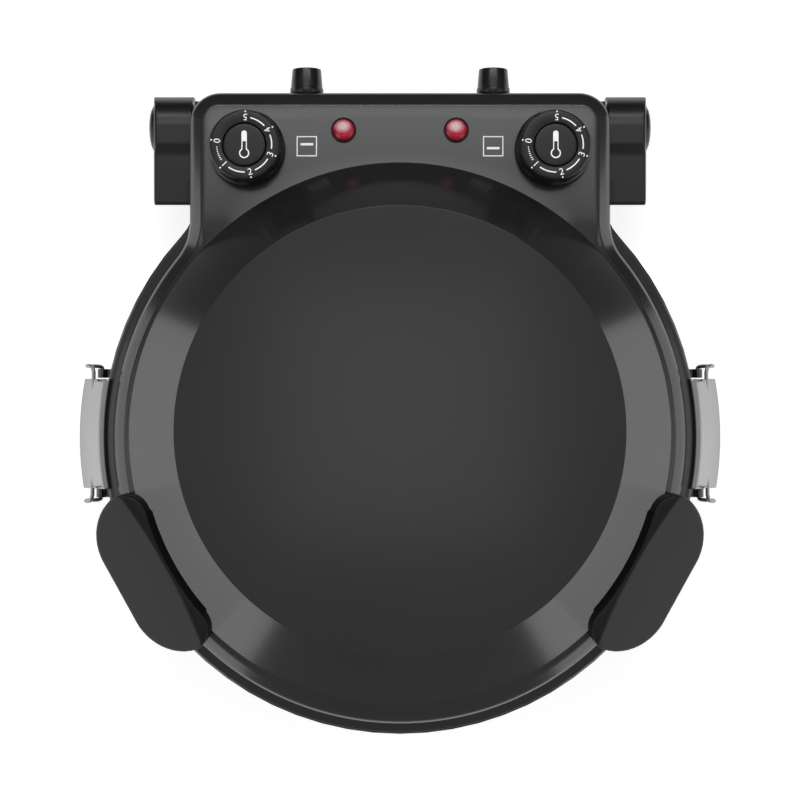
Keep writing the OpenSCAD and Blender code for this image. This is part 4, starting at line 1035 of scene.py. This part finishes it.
# %% Posts
POST_X, POST_STEPS = 58.0, 72
low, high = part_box("rear_posts")
POST_TIP, POST_BASE = high.y / MM - CENTRE_Y, low.y / MM - CENTRE_Y
POST_Z = (low.z + high.z) / 2 / MM
length = POST_TIP - POST_BASE
POST_PROFILE = [
    (0.0, 9.3), (0.1, 9.9), (0.6, 10.35), (4.6, 10.35), (5.1, 10.25), (5.3, 9.95), (5.7, 9.85),
    (length - 0.55, 8.95), (length - 0.25, 8.8), (length - 0.08, 8.4), (length - 0.02, 7.2),
    (length, 4.0), (length, 1.0)]
for side, word in SIDES:
    points = [(x, POST_BASE + y, z) for y, r in POST_PROFILE
              for x, z in circle((side * POST_X, POST_Z), r, POST_STEPS)]
    faces = ring_faces(len(POST_PROFILE), POST_STEPS, ends=True)
    post = piece_from(word + "_turned_post", points, faces, post_rubber)
    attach(post, "lid")
    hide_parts("rear_posts")
print("posts run from", round(POST_BASE, 1), "to", round(POST_TIP, 1), "at", round(POST_Z, 1))

# %% [markdown]
# ## Dials
# A dial is turned by its rim, so the rim has shallow scallops for the fingertips. Cutting
# them out of a disc would leave ragged edges. Instead the rim's radius is a function of the
# angle, and the dial is one more loft. Its top is flat, carries the print, and has a shallow
# seat for a separate round cap.

# %% Scalloped rim
KNOB_X, KNOB_Y, KNOB_R, CAP_R = 93.5, 176.2, 23.4, 12.7
SCALLOPS, SCALLOP_R, SCALLOP_DEPTH, SCALLOP_START, GRIP_IN = 7, 14.0, 1.1, 20, 1.6
low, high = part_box("left_knob")
DIAL_LOW, DIAL_TOP = low.z / MM, high.z / MM


def scalloped(radius, angle, cut):
    """The rim's radius at an angle: the round rim, or the wall of the nearest scallop."""
    pitch = 360 / SCALLOPS
    a = math.radians((math.degrees(angle) - SCALLOP_START + pitch / 2) % pitch - pitch / 2)
    reach = KNOB_R - GRIP_IN - SCALLOP_DEPTH + SCALLOP_R
    inside = SCALLOP_R ** 2 - (reach * math.sin(a)) ** 2
    if inside <= 0:
        return radius
    wall = reach * math.cos(a) - math.sqrt(inside)
    return radius - cut * max(0.0, radius - wall)


deepest = scalloped(KNOB_R - GRIP_IN, math.radians(SCALLOP_START), 1)
print("dial from", round(DIAL_LOW, 1), "to", round(DIAL_TOP, 1), "scallop at", round(deepest, 1))

# %% Dial bodies and caps
DIAL_STEPS, CAP_STEPS, CAP_PROUD = 252, 96, 0.12
# Radius, height, and how much of the scallop is cut there.
DIAL_PROFILE = [
    (4.0, DIAL_LOW, 0), (KNOB_R - 0.8, DIAL_LOW, 0), (KNOB_R, DIAL_LOW + 0.6, 0),
    (KNOB_R, DIAL_LOW + 3.6, 0), (KNOB_R - 0.5, DIAL_LOW + 4.7, 0),
    (KNOB_R - 1.3, DIAL_LOW + 5.2, 0), (KNOB_R - 1.6, DIAL_LOW + 5.7, 1),
    (KNOB_R - 1.9, DIAL_TOP - 2.4, 1), (KNOB_R - 2.1, DIAL_TOP - 1.3, 1),
    (KNOB_R - 2.6, DIAL_TOP - 0.45, 1), (KNOB_R - 3.4, DIAL_TOP - 0.08, 1),
    (KNOB_R - 4.4, DIAL_TOP, 0.6), (CAP_R + 1.2, DIAL_TOP, 0), (CAP_R + 0.7, DIAL_TOP - 0.15, 0),
    (CAP_R + 0.5, DIAL_TOP - 0.6, 0), (CAP_R + 0.5, DIAL_TOP - 1.6, 0), (2.0, DIAL_TOP - 1.6, 0)]
CAP_TOP = DIAL_TOP + CAP_PROUD
CAP_PROFILE = [
    (2, DIAL_TOP - 1.55), (CAP_R, DIAL_TOP - 1.55), (CAP_R, DIAL_TOP - 0.5),
    (CAP_R - 0.15, DIAL_TOP - 0.2), (CAP_R - 0.5, DIAL_TOP), (CAP_R - 1.2, CAP_TOP - 0.04),
    (CAP_R - 2.2, CAP_TOP), (2, CAP_TOP)]


def dial_body(name, side):
    rings = []
    for radius, z, cut in DIAL_PROFILE:
        ring = []
        for i in range(DIAL_STEPS):
            a = 2 * math.pi * i / DIAL_STEPS
            r = scalloped(radius, a if side > 0 else math.pi - a, cut)
            ring.append((side * KNOB_X + r * math.cos(a), KNOB_Y + r * math.sin(a), z))
        rings.append(ring)
    return loft(name, rings, dial_phenolic)


def dial_cap(name, side):
    rings = [[(x, y, z) for x, y in circle((side * KNOB_X, KNOB_Y), r, CAP_STEPS)]
             for r, z in CAP_PROFILE]
    return loft(name, rings, dial_phenolic)


print("rings in a dial:", len(DIAL_PROFILE), "and in a cap:", len(CAP_PROFILE))

# %% [markdown]
# ## Drawing flat prints
# The ink is 0.05 mm thick, so a print is a flat mesh laid just above its surface. A texture
# would need an image, while real faces stay crisp at any distance. A print is first drawn as
# outlines in the plane, by a small set of shapes, and then laid down in one go.


# %% Flat shapes
class Print:
    """Collects flat faces, in mm round the circle's centre."""

    def __init__(self):
        self.points = []
        self.faces = []

    def polygon(self, outline):
        start = len(self.points)
        self.points += outline
        self.faces.append(tuple(range(start, start + len(outline))))

    def band(self, centre, radius, width, start, end, steps=24):
        outside = arc(centre, radius + width / 2, start, end, steps)
        inside = arc(centre, radius - width / 2, start, end, steps)
        for i in range(steps):
            self.polygon([outside[i], outside[i + 1], inside[i + 1], inside[i]])

    def bar(self, x0, y0, x1, y1):
        self.polygon([(x0, y0), (x1, y0), (x1, y1), (x0, y1)])

    def frame(self, x0, y0, x1, y1, width):
        self.bar(x0, y0, x1, y0 + width)
        self.bar(x0, y1 - width, x1, y1)
        self.bar(x0, y0 + width, x0 + width, y1 - width)
        self.bar(x1 - width, y0 + width, x1, y1 - width)


sample = Print()
sample.frame(0, 0, 10, 10, 1)
print("a frame is", len(sample.faces), "flat bars")

# %% [markdown]
# A number comes from a text object with Blender's own letters. Its mesh is read once, turned
# to stand square to the dial's centre, and added to the other shapes.

# %% Numbers
CAPITAL_SHARE = 0.7  # a digit's height as a share of the letters' size


def draw_number(sheet, text, centre, height, turn):
    curve = bpy.data.curves.new("glyph", "FONT")
    curve.body = text
    curve.size = height / CAPITAL_SHARE
    curve.align_x = "CENTER"
    curve.resolution_u = 4
    mesh = worked_mesh(new_object("glyph", curve))
    bpy.data.curves.remove(curve)
    spin = Matrix.Rotation(turn, 2)
    start = len(sheet.points)
    for vertex in mesh.vertices:
        x, y = spin @ Vector((vertex.co.x, vertex.co.y - height / 2))
        sheet.points.append((x + centre[0], y + centre[1]))
    sheet.faces += [tuple(start + i for i in face.vertices) for face in mesh.polygons]
    bpy.data.meshes.remove(mesh)


sample = Print()
draw_number(sample, "3", (0, 0), 4.0, 0.0)
heights = [y for _, y in sample.points]
print("a 3 is", round(max(heights) - min(heights), 2), "mm high")


# %% Laying a print
INK_T = 0.05


def lay_print(sheet, name, surface, body):
    """Lays a print on a surface, which is a height for each x and y, with every face up."""
    points = [(x * MM, (y + CENTRE_Y) * MM, (surface(x, y) + INK_T) * MM)
              for x, y in sheet.points]
    mesh = bpy.data.meshes.new(name)
    mesh.from_pydata(points, [], sheet.faces)
    bm = bmesh.new()
    bm.from_mesh(mesh)
    for face in bm.faces:
        face.normal_update()
        if face.normal.z < 0:
            face.normal_flip()
    bm.to_mesh(mesh)
    bm.free()
    mesh.materials.append(white_ink)
    piece = new_object(name, mesh)
    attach(piece, body)
    print(name, "faces", len(mesh.polygons))


# %% [markdown]
# ## Prints on the dials
# Round each dial run the numbers 0 to 5, a dot outside each, arcs between them, and a row
# of dashes that grow from 0 to 1. The cap carries a thermometer: a tube that is open below and
# a ring for its bulb.

# %% Dial print
DIGITS = {"0": 172, "1": 224, "2": 282, "3": 340, "4": 392, "5": 448}
DIGIT_R, DIGIT_H, DOT_R, DOT, LINE = 16.5, 4.0, 20.0, 0.5, 0.75
CLEAR = 11                                        # degrees left free beside a number
DASHES, DASH_HALF, DASHES_FREE = 7, 0.95, 20      # a count, then degrees
DASH_THIN, DASH_GROWTH = 0.6, 0.1


def dial_print(side):
    centre = (side * KNOB_X, KNOB_Y)
    sheet = Print()
    for text, degrees in DIGITS.items():
        a = math.radians(degrees)
        place = (centre[0] + DIGIT_R * math.cos(a), centre[1] + DIGIT_R * math.sin(a))
        draw_number(sheet, text, place, DIGIT_H, a + math.pi / 2)
        dot = (centre[0] + DOT_R * math.cos(a), centre[1] + DOT_R * math.sin(a))
        sheet.polygon(circle(dot, DOT, 12))
    stops = list(DIGITS.values())
    for start, end in zip(stops[1:], stops[2:]):
        sheet.band(centre, DIGIT_R, LINE, start + CLEAR, end - CLEAR)
    for i in range(DASHES):
        middle = stops[0] + CLEAR + (stops[1] - stops[0] - DASHES_FREE) * (i + 0.5) / DASHES
        width = DASH_THIN + DASH_GROWTH * i
        sheet.band(centre, DIGIT_R, width, middle - DASH_HALF, middle + DASH_HALF, 3)
    return sheet


# %% Thermometer
TUBE_HALF, TUBE_LINE, TUBE_TOP, TUBE_MIDDLE, TUBE_FOOT = 1.6, 0.6, 6.8, 2.0, -3.0
BULB_Y, BULB_R, BULB_START, BULB_END = -5.1, 2.7, 122, 418


def cap_print(side):
    cx, cy = side * KNOB_X, KNOB_Y
    sheet = Print()
    sheet.polygon(arc((cx, cy + TUBE_TOP), TUBE_HALF, 0, 180, 16)
                  + [(cx - TUBE_HALF, cy + TUBE_MIDDLE), (cx + TUBE_HALF, cy + TUBE_MIDDLE)])
    for wall in (-1, 1):
        middle = cx + wall * (TUBE_HALF - TUBE_LINE / 2)
        sheet.bar(middle - TUBE_LINE / 2, cy + TUBE_FOOT, middle + TUBE_LINE / 2, cy + TUBE_MIDDLE)
    sheet.band((cx, cy + BULB_Y), BULB_R, LINE, BULB_START, BULB_END, 36)
    return sheet


# %% [markdown]
# Each dial is made here as a whole: the moulding first, then its cap, and the print last,
# because it lies on both. All of it rides on the body that the dial's joint turns.

# %% Both dials
for side, word in SIDES:
    body = word + "_dial"
    dial = dial_body(word + "_dial_moulding", side)
    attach(dial, body)
    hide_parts(word + "_knob")
    cap = dial_cap(word + "_dial_cap", side)
    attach(cap, body)
    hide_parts(word + "_knob_cap")
    print(word, "dial faces", len(dial.data.polygons), "cap faces", len(cap.data.polygons))
    lay_print(dial_print(side), word + "_dial_print", lambda x, y: DIAL_TOP, body)
    lay_print(cap_print(side), word + "_cap_print", lambda x, y: CAP_TOP, body)

# %% [markdown]
# ## Signs on the console
# Each dial has a sign beside it: a square with a bar above its middle for the upper heat, and
# below it for the lower heat. They lie on the sloping panel, so the surface is the panel's own
# height function.

# %% Console signs
ICON, ICON_LINE, ICON_X, ICON_Y = 12.4, 0.6, 56.9, 177.85
BAR_HALF, BAR_THICK_HALF = 3.9, 0.7
signs = Print()
for side, rise in ((-1, 1.25), (1, -1.15)):
    cx = side * ICON_X
    signs.frame(cx - ICON / 2, ICON_Y - ICON / 2, cx + ICON / 2, ICON_Y + ICON / 2, ICON_LINE)
    signs.bar(cx - BAR_HALF, ICON_Y + rise - BAR_THICK_HALF,
              cx + BAR_HALF, ICON_Y + rise + BAR_THICK_HALF)
lay_print(signs, "console_signs", lambda x, y: crease_z(y) + PANEL_UP, "lid")

# %% [markdown]
# ## Camera
# The camera looks straight down from 1.3 m, a little behind the round part's centre, so that
# the object fills the frame from the front of the lid to the ends of the posts.

# %% Camera
CAMERA_HEIGHT, CAMERA_BEHIND = 1.3, 22.9
camera_data = bpy.data.cameras.new("camera")
camera_data.lens = 88.97
camera_data.sensor_width = 36.0
camera_data.clip_end = 20.0
camera = new_object("camera", camera_data)
camera.location = (0.0, (CENTRE_Y + CAMERA_BEHIND) * MM, CAMERA_HEIGHT)
bpy.context.scene.camera = camera
print("camera at", [round(v, 4) for v in camera.location])

# %% [markdown]
# ## Soft boxes
# Glossy enamel shows the lamps more than it shows its own colour, so each lamp is placed for
# the surface that mirrors it:
#
# - a low, long box on each side is what the dome's steep flank reflects
# - a middle and a high box on each side light the shoulder, the clips and the grips
# - a broad strip above the rear gives the console its even tone, and a thin bright line
#   behind it draws the edge light along its corner
# - a small box overhead keeps the flat top from going black
#
# A lamp's power is worked out from its size and its radiance, which is how bright a mirror
# would show it. So a box can grow without changing what it does to the enamel.


# %% Soft box helper
def soft_box(name, place, size, radiance, target=(0, 0, 0.08)):
    data = bpy.data.lights.new(name, "AREA")
    data.shape = "RECTANGLE"
    data.size, data.size_y = size
    data.energy = radiance * math.pi * size[0] * size[1]
    lamp = new_object(name, data)
    lamp.location = place
    aim = Vector(target) - Vector(place)
    lamp.rotation_euler = aim.to_track_quat("-Z", "Y").to_euler()
    print(name, "has", round(data.energy, 2), "W")
    return lamp


# The low boxes stand at the height of the dome's flanks, and the grips would throw their
# shadows right across them. The boxes are therefore told to shine past the grips.
passed = bpy.data.collections.new("passed_by_low_light")
for name in ("left_grip_moulding", "right_grip_moulding", "handle_screws"):
    passed.objects.link(nodes.get(name) or bpy.data.objects[name])
for entry in passed.collection_objects:
    entry.light_linking.link_state = "EXCLUDE"

# %% Lamps
for side, word in SIDES:
    low_box = soft_box(word + "_low_box", (side * 1.36, -0.39, -0.28), (2.5, 0.9), 1.6,
                       target=(0, 0, -0.28))
    low_box.light_linking.blocker_collection = passed
    soft_box(word + "_middle_box", (side * 1.25, -0.58, 0.55), (1.7, 0.75), 0.9)
    soft_box(word + "_high_box", (side * 1.3, 0.0, 1.5), (0.8, 0.5), 1.0)
soft_box("rear_strip", (0.0, 0.83, 1.95), (1.3, 0.48), 2.8, target=(0, 0.17, 0.09))
soft_box("rear_line", (0.0, 1.45, 1.45), (1.6, 0.1), 14.0, target=(0, 0.17, 0.06))
soft_box("top_box", (0.0, 0.0, 2.6), (0.6, 0.6), 0.7)

# %% [markdown]
# ## Floor
# The object stands on a disc of pale paper, which keeps its soft shadow. A white background
# could be had by flooding the floor with light, but that light would bounce up into the
# enamel. Light Path lets the paper glow for the camera, and a little less in what mirrors it,
# but never as light on the object.

# %% Floor
FLOOR_R, FLOOR_POINTS, FOR_CAMERA, FOR_MIRRORS = 0.43, 120, 0.8, 0.72
floor_mesh = bpy.data.meshes.new("studio_floor")
floor_mesh.from_pydata([(x, y, 0) for x, y in circle((0, 0), FLOOR_R, FLOOR_POINTS)], [],
                       [tuple(range(FLOOR_POINTS))])
floor_paper, tree, place = new_material("pale_sweep_paper")
path = add(tree, "ShaderNodeLightPath")
seen = add(tree, "ShaderNodeMath", {
    0: path.outputs["Is Glossy Ray"], 1: path.outputs["Is Transmission Ray"]}, operation="ADD")
seen = add(tree, "ShaderNodeMath", {0: seen.outputs[0], 1: FOR_MIRRORS}, operation="MULTIPLY")
seen = add(tree, "ShaderNodeMath", {
    0: path.outputs["Is Camera Ray"], 1: FOR_CAMERA, 2: seen.outputs[0]},
    operation="MULTIPLY_ADD")
fibre = add(tree, "ShaderNodeTexNoise", {"Vector": place, "Scale": 400.0})
paper = add(tree, "ShaderNodeValToRGB", {"Fac": fibre.outputs["Fac"]},
            stops=[(0.3, hex_rgb("b4b4b4")), (0.7, hex_rgb("bcbcbc"))])
diffuse = add(tree, "ShaderNodeBsdfDiffuse", {"Color": paper.outputs["Color"]})
glow = add(tree, "ShaderNodeEmission", {"Color": hex_rgb("ffffff"), "Strength": seen.outputs[0]})
both = add(tree, "ShaderNodeAddShader", {0: diffuse.outputs[0], 1: glow.outputs[0]})
add(tree, "ShaderNodeOutputMaterial", {"Surface": both.outputs[0]})
floor_mesh.materials.append(floor_paper)
floor = new_object("studio_floor", floor_mesh)
print("floor of", 2 * FLOOR_R, "m across")

# %% [markdown]
# ## The room
# The room is darker towards the horizon than overhead, and darkest behind the object. Glossy
# enamel mirrors that: the dome's front and rear flanks look out at the dim horizon, so they
# turn nearly black, while the flat top stays grey. The camera itself sees plain white.

# %% World
FRONT_DIM, REAR_DIM, OVERHEAD = 0.24, 0.06, 0.36
world = bpy.data.worlds.new("studio")
world.use_nodes = True
tree = world.node_tree
tree.nodes.clear()
path = add(tree, "ShaderNodeLightPath")
where = add(tree, "ShaderNodeTexCoord")
axes = add(tree, "ShaderNodeSeparateXYZ", {"Vector": where.outputs["Generated"]})
dim = add(tree, "ShaderNodeMapRange", {
    "Value": axes.outputs["Y"], "From Min": -1.0, "From Max": 0.6,
    "To Min": FRONT_DIM, "To Max": REAR_DIM})
climb = add(tree, "ShaderNodeMapRange", {
    "Value": axes.outputs["Z"], "From Min": 0.1, "From Max": 0.75,
    "To Min": dim.outputs["Result"], "To Max": OVERHEAD})
room = add(tree, "ShaderNodeBackground",
           {"Color": hex_rgb("ffffff"), "Strength": climb.outputs["Result"]})
white = add(tree, "ShaderNodeBackground", {"Color": hex_rgb("ffffff"), "Strength": 1.0})
mix = add(tree, "ShaderNodeMixShader", {
    0: path.outputs["Is Camera Ray"], 1: room.outputs[0], 2: white.outputs[0]})
add(tree, "ShaderNodeOutputWorld", {"Surface": mix.outputs[0]})
bpy.context.scene.world = world
bpy.context.scene.view_settings.view_transform = "Standard"
print("room's light", REAR_DIM, "to", OVERHEAD)
